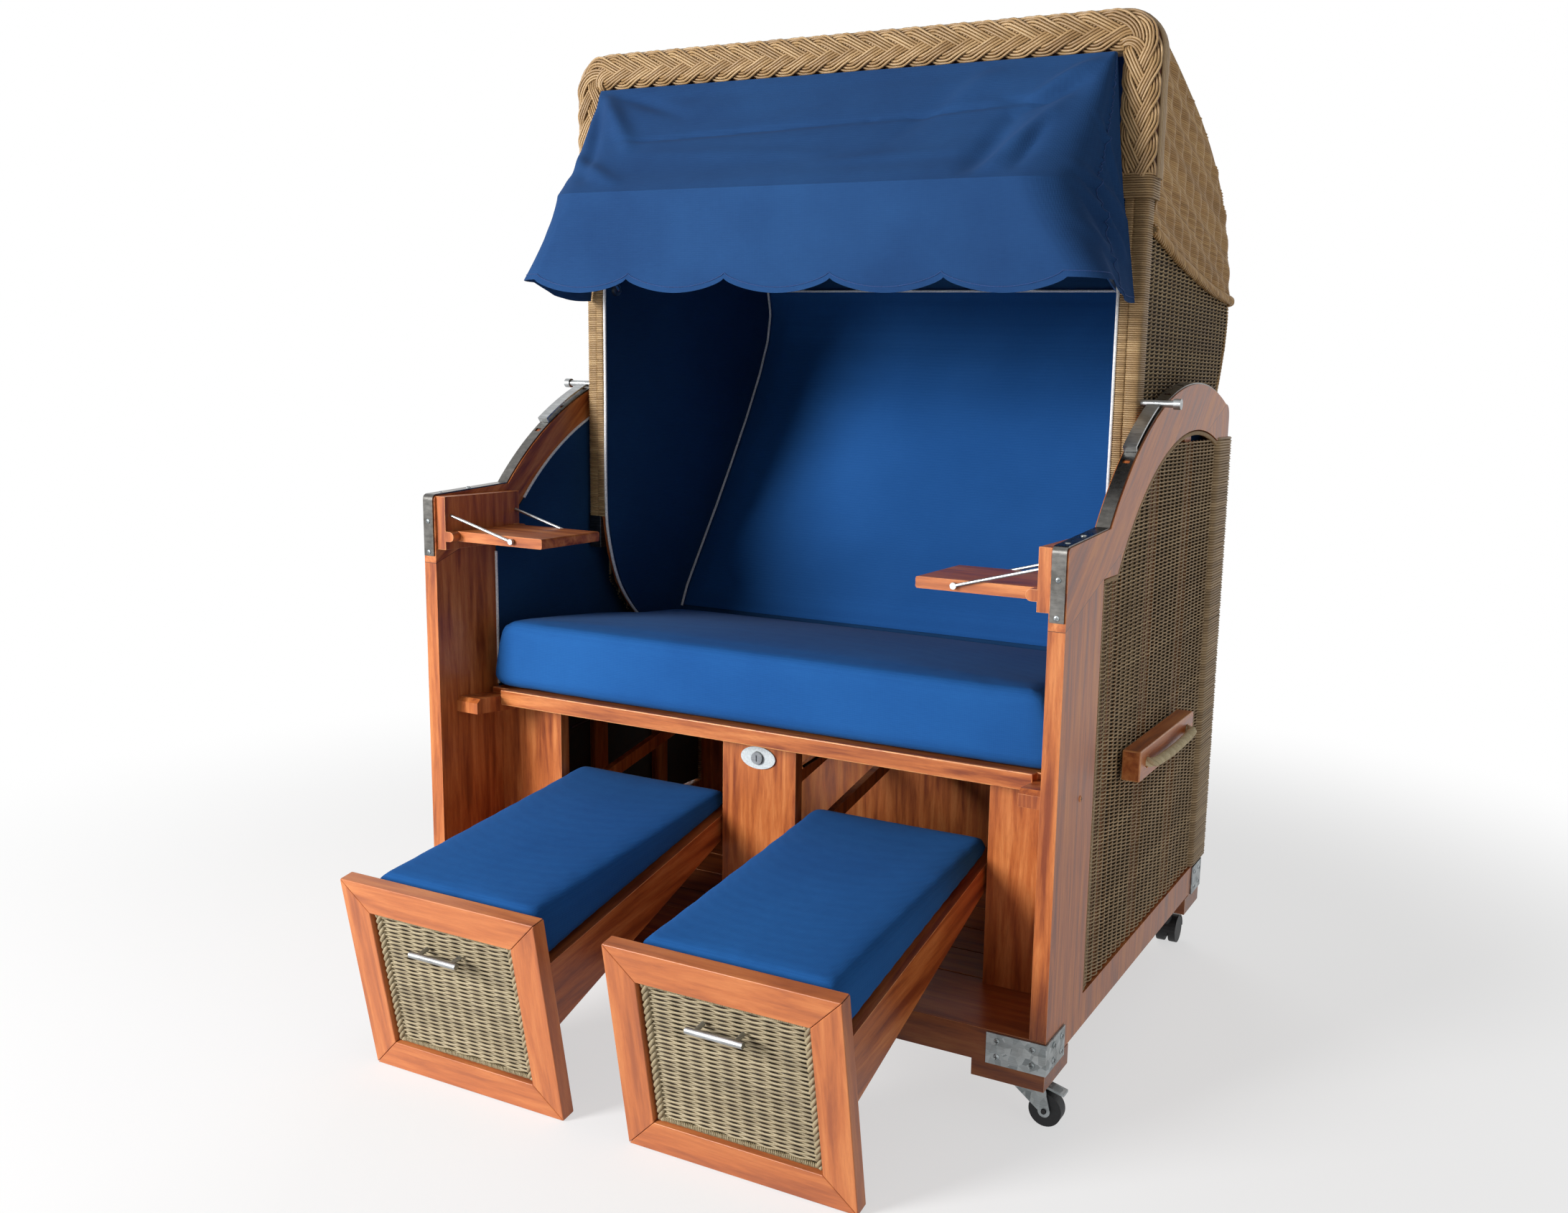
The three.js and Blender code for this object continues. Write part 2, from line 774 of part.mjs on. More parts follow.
function frontPanel() {
  const bottom = floorTop + gap;
  const outerFrom = bayCentre + bayWidth / 2;
  const cleatInner = innerFace - cleatWidth - columnInset - gap;
  const boardTop = seatTopAt(frontBoardBack) - seatBoardThick - gap;
  const underCleat = boardTop - cleatHeight - gap;
  const board = (x0, x1, top) => box(x0, x1, frontBoardFace, frontBoardBack, bottom, top);
  const outerBoard = join([
    board(outerFrom, cleatInner, boardTop),
    board(outerFrom, innerFace - gap, underCleat),
  ]);
  const guideFront = frontBoardBack - overrun;
  const guide = polygon([
    [guideFront, guideTopAt(guideFront) - guideHeight],
    [guideBack, guideTopAt(guideBack) - guideHeight],
    [guideBack, guideTopAt(guideBack)],
    [guideFront, guideTopAt(guideFront)],
  ]);
  const guideInner = boxHalf + guideClear;
  const guides = [bayCentre - guideInner - guideThick, bayCentre + guideInner].map((x) =>
    sidePlate(guide, x, x + guideThick),
  );
  const partitionHalf = outerFrom + guideThick;
  return join([
    board(-centreBoardWidth / 2, centreBoardWidth / 2, boardTop),
    outerBoard,
    mirrored(outerBoard),
    ...guides,
    ...guides.map(mirrored),
    box(-partitionHalf, partitionHalf, guideBack - gap, guideBack + partitionThick, bottom, partitionTop),
  ]);
}
place("front_panel", frontPanel(), wood);

// Oval lock plate and its turning cylinder on the centre board
const lockHeight = seatFrontHeight - seatRailHeight - lockDrop;
function lockPlate() {
  const ring = new THREE.Shape();
  ring.absellipse(0, lockHeight, lockAcross / 2, lockUp / 2, 0, Math.PI * 2);
  const back = frontBoardFace - gap;
  const plate = frontPlate(ring, back - lockPlateThick, back, 16);
  return cut(plate, [
    bar("y", back - lockPlateThick - overrun, frontBoardFace, 0, lockHeight, lockRadius + runningGap),
  ]);
}
place("lock_plate", lockPlate(), zinc);

function lockCylinder() {
  const front = frontBoardFace - gap - lockPlateThick - lockProud;
  const slotHalf = lockRadius / 2;
  return cut(bar("y", front, frontBoardFace - gap, 0, lockHeight, lockRadius), [
    box(
      -keySlotWidth / 2,
      keySlotWidth / 2,
      front - overrun,
      front + lockProud / 2,
      lockHeight - slotHalf,
      lockHeight + slotHalf,
    ),
  ]);
}
place("lock_cylinder", lockCylinder(), steel);

// A cushion: a box with rounded edges whose top and bottom follow two lines, with a crown on top and
// its sides drawn in a little towards the top
function cushionBody(halfWidth, front, back, bottomAt, topAt, round, crown, steps) {
  const middle = (front + back) / 2;
  const deep = (back - front) / 2;
  const high = (topAt(middle) - bottomAt(middle)) / 2;
  const geometry = new THREE.BoxGeometry(2, 2, 2, ...steps);
  const places = geometry.attributes.position;
  const extent = new THREE.Vector3(halfWidth, deep, high);
  const core = extent.clone().subScalar(round);
  const spread = (t) => Math.sin((t * Math.PI) / 2);
  for (let i = 0; i < places.count; i++) {
    const at = new THREE.Vector3(
      spread(places.getX(i)),
      spread(places.getY(i)),
      spread(places.getZ(i)),
    ).multiply(extent);
    const inner = at.clone().clamp(core.clone().negate(), core);
    const away = at.sub(inner);
    if (away.length() > gap) away.setLength(round);
    const place = inner.add(away);
    const across = place.x / halfWidth;
    const along = place.y / deep;
    const up = (place.z / high + 1) / 2;
    const y = middle + place.y;
    const rise = crown * (1 - across ** 2) * (1 - along ** 2) * up ** 2;
    const drawn = 1 - ((round / halfWidth) * up ** 2) / 2;
    places.setXYZ(i, place.x * drawn, y, bottomAt(y) + up * (topAt(y) - bottomAt(y)) + rise);
  }
  return solid(geometry);
}

place(
  "seat_cushion",
  cushionBody(
    cushionHalf,
    cushionFront,
    cushionBack,
    (y) => seatTopAt(y) + gap,
    (y) => seatTopAt(y) + cushionThick,
    cushionRound,
    cushionCrown,
    [12, 10, 4],
  ),
  cloth,
);

// Footrest pieces, in the footrest's own frame
const panelFace = -footrestReach;
const panelBack = panelFace + panelThick;
const boxFront = panelBack + gap;
const boxTopAt = (y) =>
  boxTopFront + ((boxTopRear - boxTopFront) * (y - boxFront)) / (boxTail - boxFront);
const panelInner = panelWidth / 2 - panelRim;

function panelFrame() {
  const bottom = panelTop - panelHeight;
  const half = panelWidth / 2;
  return cut(box(-half, half, panelFace, panelBack, bottom, panelTop), [
    box(
      -panelInner,
      panelInner,
      panelFace - overrun,
      panelBack + overrun,
      bottom + panelRim,
      panelTop - panelRim,
    ),
  ]);
}

function panelWicker() {
  const edge = panelInner - gap;
  const front = panelFace + panelWickerInset;
  const bottom = panelTop - panelHeight + panelRim + gap;
  return box(-edge, edge, front, front + panelWickerThick, bottom, panelTop - panelRim - gap);
}

function footrestHandle() {
  const height = panelTop - handleDrop;
  const front = panelFace - handleStandoff;
  const end = panelFace + panelWickerInset - gap;
  const posts = [-handlePostGap / 2, handlePostGap / 2].map((x) =>
    bar("y", front, end, handleShift + x, height, handlePostRadius, 16),
  );
  const halfLength = handleLength / 2;
  const grip = bar("x", handleShift - halfLength, handleShift + halfLength, front, height, handleRadius);
  return join([grip, ...posts]);
}

function footrestBox() {
  const side = polygon([
    [boxFront, boxTopFront - boxFrontDepth],
    [boxTail, boxTopRear - boxRearDepth],
    [boxTail, boxTopRear],
    [boxFront, boxTopFront],
  ]);
  const board = polygon([
    [boxFront, boxTopFront - boxBoardThick],
    [boxTail, boxTopRear - boxBoardThick],
    [boxTail, boxTopRear],
    [boxFront, boxTopFront],
  ]);
  const inner = boxHalf - boxSideThick;
  const body = join([
    sidePlate(side, -boxHalf, -inner),
    sidePlate(side, inner, boxHalf),
    sidePlate(board, -boxHalf, boxHalf),
  ]);
  return cut(body, [bar("x", -boxHalf - overrun, boxHalf + overrun, 0, 0, axleRadius + runningGap)]);
}

const footrestCushionFront = panelBack + footrestCushionInset;
const footrestCushionTopAt = (y) =>
  footrestCushionFrontTop +
  ((footrestCushionRearTop - footrestCushionFrontTop) * (y - footrestCushionFront)) /
    (footrestCushionTail - footrestCushionFront);

function footrest(side, x) {
  const group = new THREE.Group();
  group.position.set(x, footrestAxleBack, footrestAxleHeight);
  group.rotation.x = footrestTilt;
  chair.add(group);
  place(`${side}_footrest_frame`, panelFrame(), wood, group);
  place(`${side}_footrest_wicker`, panelWicker(), wicker, group);
  place(`${side}_footrest_handle`, footrestHandle(), steel, group);
  place(`${side}_footrest_box`, footrestBox(), darkWood, group);
  const cushion = cushionBody(
    boxHalf - footrestCushionInset,
    footrestCushionFront,
    footrestCushionTail,
    (y) => boxTopAt(y) + gap,
    footrestCushionTopAt,
    footrestCushionRound,
    footrestCushionRound / 2,
    [10, 8, 3],
  );
  place(`${side}_footrest_cushion`, cushion, cloth, group);
  const axleHalf = boxHalf + axleOverhang;
  place(`${side}_footrest_axle`, bar("x", -axleHalf, axleHalf, 0, 0, axleRadius), steel, group);
}
footrest("left", -bayCentre);
footrest("right", bayCentre);

// Trays, their hinge blocks on the arms and the wire stays that hold them level
const blockInner = innerFace - gap - hingeBlockThick;
const trayEnd = blockInner - gap; // tray's outer edge
const trayInner = trayEnd - trayWidth;
const trayPinHeight = trayTop - trayThick / 2;
const trayPinAt = trayEnd - trayThick / 2;
const stayEndInner = trayInner + stayEndReach;
const trayBack = trayFront + trayDepth;

function tray() {
  const flat = new THREE.Shape();
  const bottom = trayTop - trayThick;
  flat.moveTo(trayInner + trayEdgeRound, bottom);
  flat.lineTo(trayPinAt, bottom);
  flat.absarc(trayPinAt, trayPinHeight, trayThick / 2, -Math.PI / 2, Math.PI / 2);
  flat.lineTo(trayInner + trayEdgeRound, trayTop);
  flat.quadraticCurveTo(trayInner, trayTop, trayInner, trayTop - trayEdgeRound);
  flat.lineTo(trayInner, bottom + trayEdgeRound);
  flat.quadraticCurveTo(trayInner, bottom, trayInner + trayEdgeRound, bottom);
  const past = [trayFront - overrun, trayBack + overrun];
  return cut(frontPlate(flat, trayFront, trayBack, 8), [
    bar("y", ...past, trayPinAt, trayPinHeight, trayPinRadius + runningGap, 20),
    bar("y", ...past, stayEndInner, trayPinHeight, stayRadius + runningGap, 16),
  ]);
}
placePair("tray", tray(), wood);

function hingeBlock() {
  const outer = innerFace - gap;
  const back = hingeBlockFront + hingeBlockDepth;
  const top = hingeBlockBottom + hingeBlockHeight;
  const lug = (y0, y1) => {
    const arm = box(trayPinAt, outer, y0, y1, trayPinHeight - trayThick / 2, trayPinHeight + trayThick / 2);
    return arm.add(bar("y", y0, y1, trayPinAt, trayPinHeight, trayThick / 2));
  };
  return join([
    box(blockInner, outer, hingeBlockFront, back, hingeBlockBottom, top),
    lug(hingeBlockFront, trayFront - gap),
    lug(trayBack + gap, back),
    bar("y", hingeBlockFront, back, trayPinAt, trayPinHeight, trayPinRadius, 20),
  ]);
}
placePair("tray_block", hingeBlock(), wood);

function trayStay() {
  const front = trayFront - stayRadius - runningGap;
  const back = trayBack + stayRadius + runningGap;
  const slope = (stayHeight - trayPinHeight) / (blockInner - stayEndInner);
  const end = blockInner - gap - stayRadius * slope;
  const wire = (y) => {
    const run = new THREE.LineCurve3(
      new THREE.Vector3(stayEndInner, y, trayPinHeight),
      new THREE.Vector3(end, y, stayHeight),
    );
    return tube(run, stayRadius, 1, 6);
  };
  const eye = (y) =>
    bar("y", y - stayRadius, y + stayRadius, stayEndInner, trayPinHeight, stayRadius * 2, 16);
  return join([
    bar("y", front, back, stayEndInner, trayPinHeight, stayRadius, 12),
    wire(front - stayRadius / 2),
    wire(back + stayRadius / 2),
    eye(front - stayRadius / 2),
    eye(back + stayRadius / 2),
  ]);
}
placePair("tray_stay", trayStay(), steel);

// Carry handles: a wooden bar on each side and a rope loop through its ends
const barOuter = half + gap + barThick;
function carryBar() {
  const back = barFront + barLength;
  const bottom = barMiddleHeight - barHeight / 2;
  const body = box(half + gap, barOuter, barFront, back, bottom, bottom + barHeight);
  const holes = [barFront + ropeEndInset, back - ropeEndInset].map((y) =>
    bar("x", barOuter - barThick + overrun, barOuter + overrun, y, barMiddleHeight, ropeRadius + runningGap),
  );
  const clearWicker = box(
    half,
    half + wickerProud + gap,
    postDepth,
    baseDepth,
    bottom - overrun,
    bottom + barHeight + overrun,
  );
  return cut(body, [...holes, clearWicker]);
}
placePair("carry_bar", carryBar(), wood);

function carryRope() {
  const from = barFront + ropeEndInset;
  const to = barFront + barLength - ropeEndInset;
  const line = barOuter + ropeStandoff;
  const bend = ropeRadius * 2;
  const root = barOuter - barThick + overrun + gap;
  const low = barMiddleHeight - ropeSag;
  const route = new THREE.CatmullRomCurve3(
    [
      [root, from, barMiddleHeight],
      [barOuter - gap, from, barMiddleHeight],
      [line - ropeRadius / 2, from + ropeRadius / 3, barMiddleHeight],
      [line, from + bend, barMiddleHeight],
      [line, (from + to) / 2, low],
      [line, to - bend, barMiddleHeight],
      [line - ropeRadius / 2, to - ropeRadius / 3, barMiddleHeight],
      [barOuter - gap, to, barMiddleHeight],
      [root, to, barMiddleHeight],
    ].map((at) => new THREE.Vector3(...at)),
    false,
    "centripetal",
  );
  return tube(route, ropeRadius, 30, 5);
}
placePair("carry_rope", carryRope(), rope);

// Hood. Its side view is an open line from the roof's front round the back to its lower edge
const placeOnHood = ([deep, high]) => [hoodFront + deep * hoodDepth, hoodLowest + high * hoodHeight];
const hoodLine = hoodOutlineShares.map(placeOnHood);
// The same line moved inwards
function lineInside(offset) {
  return hoodLine.map(([y, z], i) => {
    const [y0, z0] = hoodLine[Math.max(i - 1, 0)];
    const [y1, z1] = hoodLine[Math.min(i + 1, hoodLine.length - 1)];
    const long = Math.hypot(y1 - y0, z1 - z0);
    return [y + (offset * (z1 - z0)) / long, z - (offset * (y1 - y0)) / long];
  });
}
const boardFront = hoodFront + hoodBoardFront;
const lowerCurve = boardCurveShares.map(([back, up]) => [
  boardFront + back * (pivotBack - boardFront),
  pivotHeight + up * (wrappedPostBottom - pivotHeight),
]);
const curveEnd = lowerCurve[lowerCurve.length - 1];
const aheadOfHood = hoodFront - 2 * hoodEdgeRound;

// Everything inside the moved line, run on past the open front and below the lower edge
function insideLine(offset) {
  const line = lineInside(offset);
  const [lastBack, lastHeight] = line[line.length - 1];
  return polygon([
    [aheadOfHood, hoodLowest - 3 * hoodEdgeRound],
    [lastBack - hoodEdgeRound, hoodLowest - 3 * hoodEdgeRound],
    [lastBack, lastHeight],
    ...line.slice(0, -1).reverse(),
    [aheadOfHood, line[0][1]],
  ]);
}

// The region that the hood's sides keep to: behind y and above the lower front curve
function hoodRegion(y, halfWidth) {
  const top = braidTop + hoodEdgeRound;
  const back = hoodFront + hoodDepth + hoodEdgeRound;
  return sidePlate(
    polygon([...lowerCurve, [back, curveEnd[1]], [back, top], [boardFront, top]]),
    -halfWidth,
    halfWidth,
  ).subtract(box(-halfWidth, halfWidth, aheadOfHood, y, 0, top + overrun));
}

// Everything inside the hood's outside moved inwards, with the edges of its sides rounded
function hoodBody(offset) {
  const round = hoodEdgeRound - offset;
  const flatHalf = hoodHalf - hoodEdgeRound;
  return sidePlate(insideLine(offset), -flatHalf, flatHalf, 12, {
    bevelEnabled: true,
    bevelThickness: round,
    bevelSize: round,
    bevelOffset: -round,
    bevelSegments: 4,
  });
}

// Ribs over the roof and down the back, and up both sides
function hoodRibs() {
  const flatHalf = hoodHalf - hoodEdgeRound;
  const back = hoodFront + hoodDepth;
  const reach = hoodRibWidth / 2;
  let slabs = box(-reach, reach, aheadOfHood, back, 0, braidTop);
  for (let x = hoodRibSpacing; x < flatHalf; x += hoodRibSpacing) {
    const slab = box(x - reach, x + reach, aheadOfHood, back, 0, braidTop);
    slabs = slabs.add(slab).add(mirrored(slab));
  }
  for (let y = hoodBehind + hoodRibSpacing; y < back; y += hoodRibSpacing) {
    const slab = box(flatHalf, hoodHalf, y - reach, y + reach, 0, braidTop);
    slabs = slabs.add(slab).add(mirrored(slab));
  }
  return slabs.intersect(hoodBody(0));
}

// The border rolled round the sides and the back
function hoodRoll() {
  const line = hoodRollShares.map(placeOnHood);
  const edge = (rise) => line.map(([y, z]) => [y, z + rise]);
  const band = polygon([...edge(hoodRollWidth / 2), ...edge(-hoodRollWidth / 2).reverse()]);
  return sidePlate(band, -half, half).intersect(hoodBody(-hoodRollProud));
}

function hoodShell() {
  return hoodBody(hoodRibProud)
    .add(hoodRibs())
    .add(hoodRoll())
    .subtract(hoodBody(hoodWickerThick))
    .intersect(hoodRegion(hoodBehind, width));
}
place("hood_shell", hoodShell(), wicker);

// Side board of the hood with its boss, the pivot bolt and the stud for the awning's bow
const boardOffset = hoodWickerThick + gap;
const boardSetback = 5; // board's edge inside the rounded corners of the wicker
const bowPivotY = hoodFront + bowPivotBack;
const studEnd = liningInner - bowEndThick - 3 * gap;
function hoodBoard() {
  const line = lineInside(boardOffset + boardSetback);
  const bossDrop = bossRadius * bossDropShare;
  const outline = polygon([
    ...lowerCurve,
    [pivotBack - bossRadius * bossReachShare, pivotHeight + bossDrop],
    [pivotBack, pivotHeight],
    ...[...line].reverse(),
    [boardFront, line[0][1]],
  ]);
  const board = sidePlate(outline, boardInner, boardOuter).subtract(
    box(boardInner - gap, boardOuter + gap, aheadOfHood, hoodBehind, braidBottom - gap, braidTop),
  );
  const bossEnd = innerFace - armLiningThick - 2 * gap;
  return join([
    board,
    bar("x", boardInner, bossEnd, pivotBack, pivotHeight, bossRadius, 40),
    bar("x", boardOuter, innerFace + battenThick - gap, pivotBack, pivotHeight, pivotBoltRadius),
    bar("x", studEnd, boardOuter, bowPivotY, bowPivotHeight, studRadius, 16),
  ]);
}
placePair("hood_board", hoodBoard(), wood);

function wrappedPost() {
  const post = box(
    wrapInner,
    hoodHalf,
    hoodFront,
    hoodFront + frontFrameDepth,
    wrappedPostBottom,
    braidBottom - gap,
  );
  return cut(post, [
    bar("x", wrapInner - overrun, hoodHalf + overrun, latchBack, latchHeight, latchRadius + runningGap),
  ]);
}
const latchHeight = heightAt(latchBack, armRadius + gap + stripThick + latchRunGap + latchRadius);
placePair("wrapped_post", wrappedPost(), wicker);

function braid() {
  const outer = roundedRectangle(-braidHalf, braidHalf, 0, braidTop, braidRound);
  const innerHalf = braidHalf - braidWidth;
  const inner = roundedRectangle(-innerHalf, innerHalf, -braidRound, braidTop - braidWidth, braidRound / 2);
  const front = hoodFront - braidProud;
  const back = hoodFront + frontFrameDepth;
  const body = frontPlate(outer, front, back, 6).subtract(
    frontPlate(inner, front - overrun, back + overrun, 4),
  );
  return cut(body, [box(-width, width, front - overrun, back + overrun, 0, braidBottom)]);
}
place("braid", braid(), wicker);

// Lining of the hood: both sides, the roof and the back, as one cloth-covered shell
function hoodLining() {
  const outerHalf = boardInner - gap;
  const outer = sidePlate(insideLine(boardOffset), -outerHalf, outerHalf);
  const inner = sidePlate(insideLine(boardOffset + hoodLiningThick), -liningInner, liningInner);
  const above = box(-width, width, 0, hoodBehind, braidBottom - gap, braidTop + overrun);
  const studs = bar("x", -outerHalf, outerHalf, bowPivotY, bowPivotHeight, studRadius + runningGap);
  return outer.subtract(inner).intersect(hoodRegion(boardFront, width)).subtract(above).subtract(studs);
}
place("hood_lining", hoodLining(), darkCloth);

function backPad() {
  const near = boardOffset + hoodLiningThick + gap;
  const padHalf = liningInner - gap;
  const body = sidePlate(insideLine(near), -padHalf, padHalf).subtract(
    sidePlate(insideLine(near + backPadThick), -width, width),
  );
  const wide = hoodFront + hoodDepth;
  return body.intersect(box(-padHalf, padHalf, 0, wide, backPadLowest, backPadTop));
}
place("back_pad", backPad(), cloth);

// Latch: a cross pin through the post with a knob, and a curved strap over the arm
function latch() {
  const pinRadiusAt = armRadius + gap + stripThick + latchRunGap + latchRadius;
  const from = angleAt(latchBack, pinRadiusAt);
  const to = from + strapReachAngle;
  const arc = (radius, angle) => [
    pivotBack + radius * Math.cos(angle),
    pivotHeight + radius * Math.sin(angle),
  ];
  const low = pinRadiusAt - strapThick / 2;
  const high = low + strapThick;
  const strap = new THREE.Shape();
  strap.moveTo(...arc(low, from));
  strap.absarc(pivotBack, pivotHeight, low, from, to);
  strap.lineTo(...arc(high, to));
  strap.absarc(pivotBack, pivotHeight, high, to, from, true);
  const hookFrom = to - strapThick / low;
  const hookLow = armRadius + gap + stripThick + runningGap;
  const hook = polygon([arc(hookLow, to), arc(high, to), arc(high, hookFrom), arc(hookLow, hookFrom)]);
  const x0 = stripMiddle - strapWidth / 2;
  const end = half + latchOverhang;
  return join([
    bar("x", wrapInner + gap, end, latchBack, latchHeight, latchRadius),
    bar("x", end, end + knobLength, latchBack, latchHeight, knobRadius),
    sidePlate(strap, x0, x0 + strapWidth, 10),
    sidePlate(hook, x0, x0 + strapWidth),
  ]);
}
placePair("latch", latch(), steel);

// Awning: one cloth from the braid over the bow, hanging in front with scallops, and back along both
// sides to the posts. Each row of the cloth runs from the left rear edge round the front to the right.
function awningRow(height, frontBack, frontHalf, rearBack, rearHalf, hang) {
  const run = rearBack - frontBack;
  const corner = Math.min(awningCorner, run * awningCornerShare);
  const points = [];
  const wingSteps = 6;
  const cornerSteps = 4;
  const frontSteps = awningSteps - 2 * (wingSteps + cornerSteps);
  const wingX = (y) => frontHalf + ((rearHalf - frontHalf) * (y - frontBack)) / run;
  const wing = [];
  for (let i = 0; i < wingSteps; i++) {
    const share = i / wingSteps;
    const y = rearBack - share * (run - corner);
    const drop = hang * (wingRise * (1 - share) - (scallopDepth / 2) * Math.sin(Math.PI * share));
    wing.push([wingX(y), y, height + drop]);
  }
  for (let i = 0; i < cornerSteps; i++) {
    const turn = (Math.PI / 2) * (i / cornerSteps);
    const y = frontBack + corner * (1 - Math.sin(turn));
    wing.push([wingX(y) - corner * (1 - Math.cos(turn)), y, height]);
  }
  wing.forEach(([x, y, z]) => points.push([-x, y, z]));
  const straight = frontHalf - corner;
  for (let i = 0; i <= frontSteps; i++) {
    const share = i / frontSteps;
    const wave = Math.abs(Math.sin(Math.PI * scallopCount * share)) ** scallopPower;
    points.push([straight * (2 * share - 1), frontBack, height - hang * scallopDepth * wave]);
  }
  wing.reverse().forEach(([x, y, z]) => points.push([x, y, z]));
  return points.map((at) => new THREE.Vector3(...at));
}

function awning() {
  const rows = [];
  const mix = (a, b, share) => a + (b - a) * share;
  const bowBack = hoodFront - bowForward;
  const nearPost = hoodFront - awningThick;
  const nearBraid = nearPost - braidProud;
  const [above, below] = awningRows;
  for (let i = 0; i < above; i++) {
    const t = i / above;
    const slack = awningSag * Math.sin(Math.PI * t);
    rows.push(
      awningRow(
        mix(awningTopHeight, bowHeight, t) - slack,
        mix(nearBraid - awningThick * 3, bowBack, t),
        mix(awningTopHalf, bowHalf, t),
        nearBraid,
        mix(awningTopHalf, (bowHalf + awningRearHalf) / 2, t) + awningThick * t,
        0,
      ),
    );
  }
  for (let i = 0; i <= below; i++) {
    const t = i / below;
    rows.push(
      awningRow(
        mix(bowHeight, awningBottomHeight, t),
        bowBack,
        mix(bowHalf, awningBottomHalf, t ** flarePower),
        i ? nearPost : nearBraid,
        mix((bowHalf + awningRearHalf) / 2 + awningThick, awningRearHalf, t),
        t,
      ),
    );
  }
  const across = rows[0].length;
  const at = (i, j) => rows[i][j];
  const places = [];
  const inner = [];
  rows.forEach((row, i) =>
    row.forEach((point, j) => {
      const along = at(i, Math.min(j + 1, across - 1))
        .clone()
        .sub(at(i, Math.max(j - 1, 0)));
      const down = at(Math.min(i + 1, rows.length - 1), j)
        .clone()
        .sub(at(Math.max(i - 1, 0), j));
      const inwards = along.cross(down).setLength(awningThick);
      places.push(...point.toArray());
      inner.push(...point.clone().add(inwards).toArray());
    }),
  );
  const faces = [];
  const shift = places.length / 3;
  const quad = (a, b, c, d) => faces.push(a, b, c, a, c, d);
  const index = (i, j) => i * across + j;
  for (let i = 0; i + 1 < rows.length; i++)
    for (let j = 0; j + 1 < across; j++) {
      const corners = [index(i, j), index(i + 1, j), index(i + 1, j + 1), index(i, j + 1)];
      quad(...corners);
      quad(...corners.map((k) => k + shift).reverse());
    }
  const edge = [];
  for (let j = 0; j < across; j++) edge.push(index(0, j));
  for (let i = 1; i < rows.length; i++) edge.push(index(i, across - 1));
  for (let j = across - 2; j >= 0; j--) edge.push(index(rows.length - 1, j));
  for (let i = rows.length - 2; i > 0; i--) edge.push(index(i, 0));
  edge.forEach((a, i) => {
    const b = edge[(i + 1) % edge.length];
    quad(a, b, b + shift, a + shift);
  });
  const geometry = new THREE.BufferGeometry();
  geometry.setAttribute("position", new THREE.BufferAttribute(new Float32Array([...places, ...inner]), 3));
  geometry.setIndex(faces);
  return solid(geometry);
}
place("awning", awning(), cloth);

// Bow under the awning, turning on studs on the hood's side boards
function awningBow() {
  const ends = studEnd + gap;
  const arm = ends + bowEndThick - bowRadius - gap;
  const front = hoodFront - bowForward + awningThick + bowRadius + 4 * gap;
  const height = bowHeight - bowRadius - 4 * gap;
  const frontHalf = bowHalf - awningThick - 2 * bowRadius;
  const corner = awningCorner;
  const cornerShare = 1 - Math.SQRT1_2;
  const bowSlope = (height - bowPivotHeight) / (bowPivotY - front);
  const side = [
    [arm, bowPivotY, bowPivotHeight],
    [(arm + frontHalf) / 2, (bowPivotY + front) / 2, (bowPivotHeight + height) / 2],
    [frontHalf, front + corner, height - corner * bowSlope],
    [frontHalf - corner * cornerShare, front + corner * cornerShare, height - bowRadius],
    [frontHalf - corner, front, height],
    [frontHalf - 2 * corner, front, height],
  ];
  const route = [
    ...side,
    [0, front, height],
    ...[...side].reverse().map(([x, y, z]) => [-x, y, z]),
  ].map((at) => new THREE.Vector3(...at));
  const curve = new THREE.CatmullRomCurve3(route, false, "centripetal");
  const eye = bar("x", ends, ends + bowEndThick, bowPivotY, bowPivotHeight, bowRadius * 2);
  const hole = bar("x", -width, width, bowPivotY, bowPivotHeight, studRadius + runningGap, 16);
  return join([tube(curve, bowRadius, 30, 4), eye, mirrored(eye)]).subtract(hole);
}
place("awning_bow", awningBow(), steel);

// Casters. Each is made at its swivel axis and rolls along its own X
function forkCaster() {
  const axleHeight = wheelRadius;
  const inner = wheelWidth / 2 + forkClear;
  const side = (y) => {
    const shape = polygon([
      [-forkTopWidth / 2, forkTop],
      [-forkTopWidth / 2, forkTop - forkLowRadius],
      [casterTrail - forkLowRadius, axleHeight],
      [casterTrail + forkLowRadius, axleHeight],
      [forkTopWidth / 2 + forkThick, forkTop],
    ]);
    return frontPlate(shape, y, y + forkThick).add(
      bar("y", y, y + forkThick, casterTrail, axleHeight, forkLowRadius),
    );
  };
  const halfTop = forkTopWidth / 2;
  const outer = inner + forkThick;
  const body = join([
    side(-outer),
    side(inner),
    box(-halfTop, halfTop, -outer, outer, forkTop - forkThick, forkTop),
    bar("z", forkTop - forkThick, footBottom - gap, 0, 0, stemPlateRadius),
    bar("z", footBottom - overrun, beamBottom - overrun, 0, 0, stemRadius),
  ]);
  return cut(body, [bar("y", -width, width, casterTrail, axleHeight, wheelAxleRadius + runningGap)]);
}

function brakeLever() {
  const root = forkTopWidth / 4;
  const end = forkTopWidth / 2 + brakeLength;
  const shape = polygon([
    [root, forkTop - brakeThick],
    [end, forkTop - brakeDrop - brakeThick],
    [end, forkTop - brakeDrop],
    [root, forkTop],
  ]);
  return frontPlate(shape, -wheelWidth / 2, wheelWidth / 2);
}

function wheel() {
  const reach = wheelWidth / 2 + forkClear + 2 * forkThick;
  return join([
    bar("y", -wheelWidth / 2, wheelWidth / 2, casterTrail, wheelRadius, wheelRadius, 40),
    bar("y", -reach, reach, casterTrail, wheelRadius, wheelAxleRadius, 20),
  ]);
}

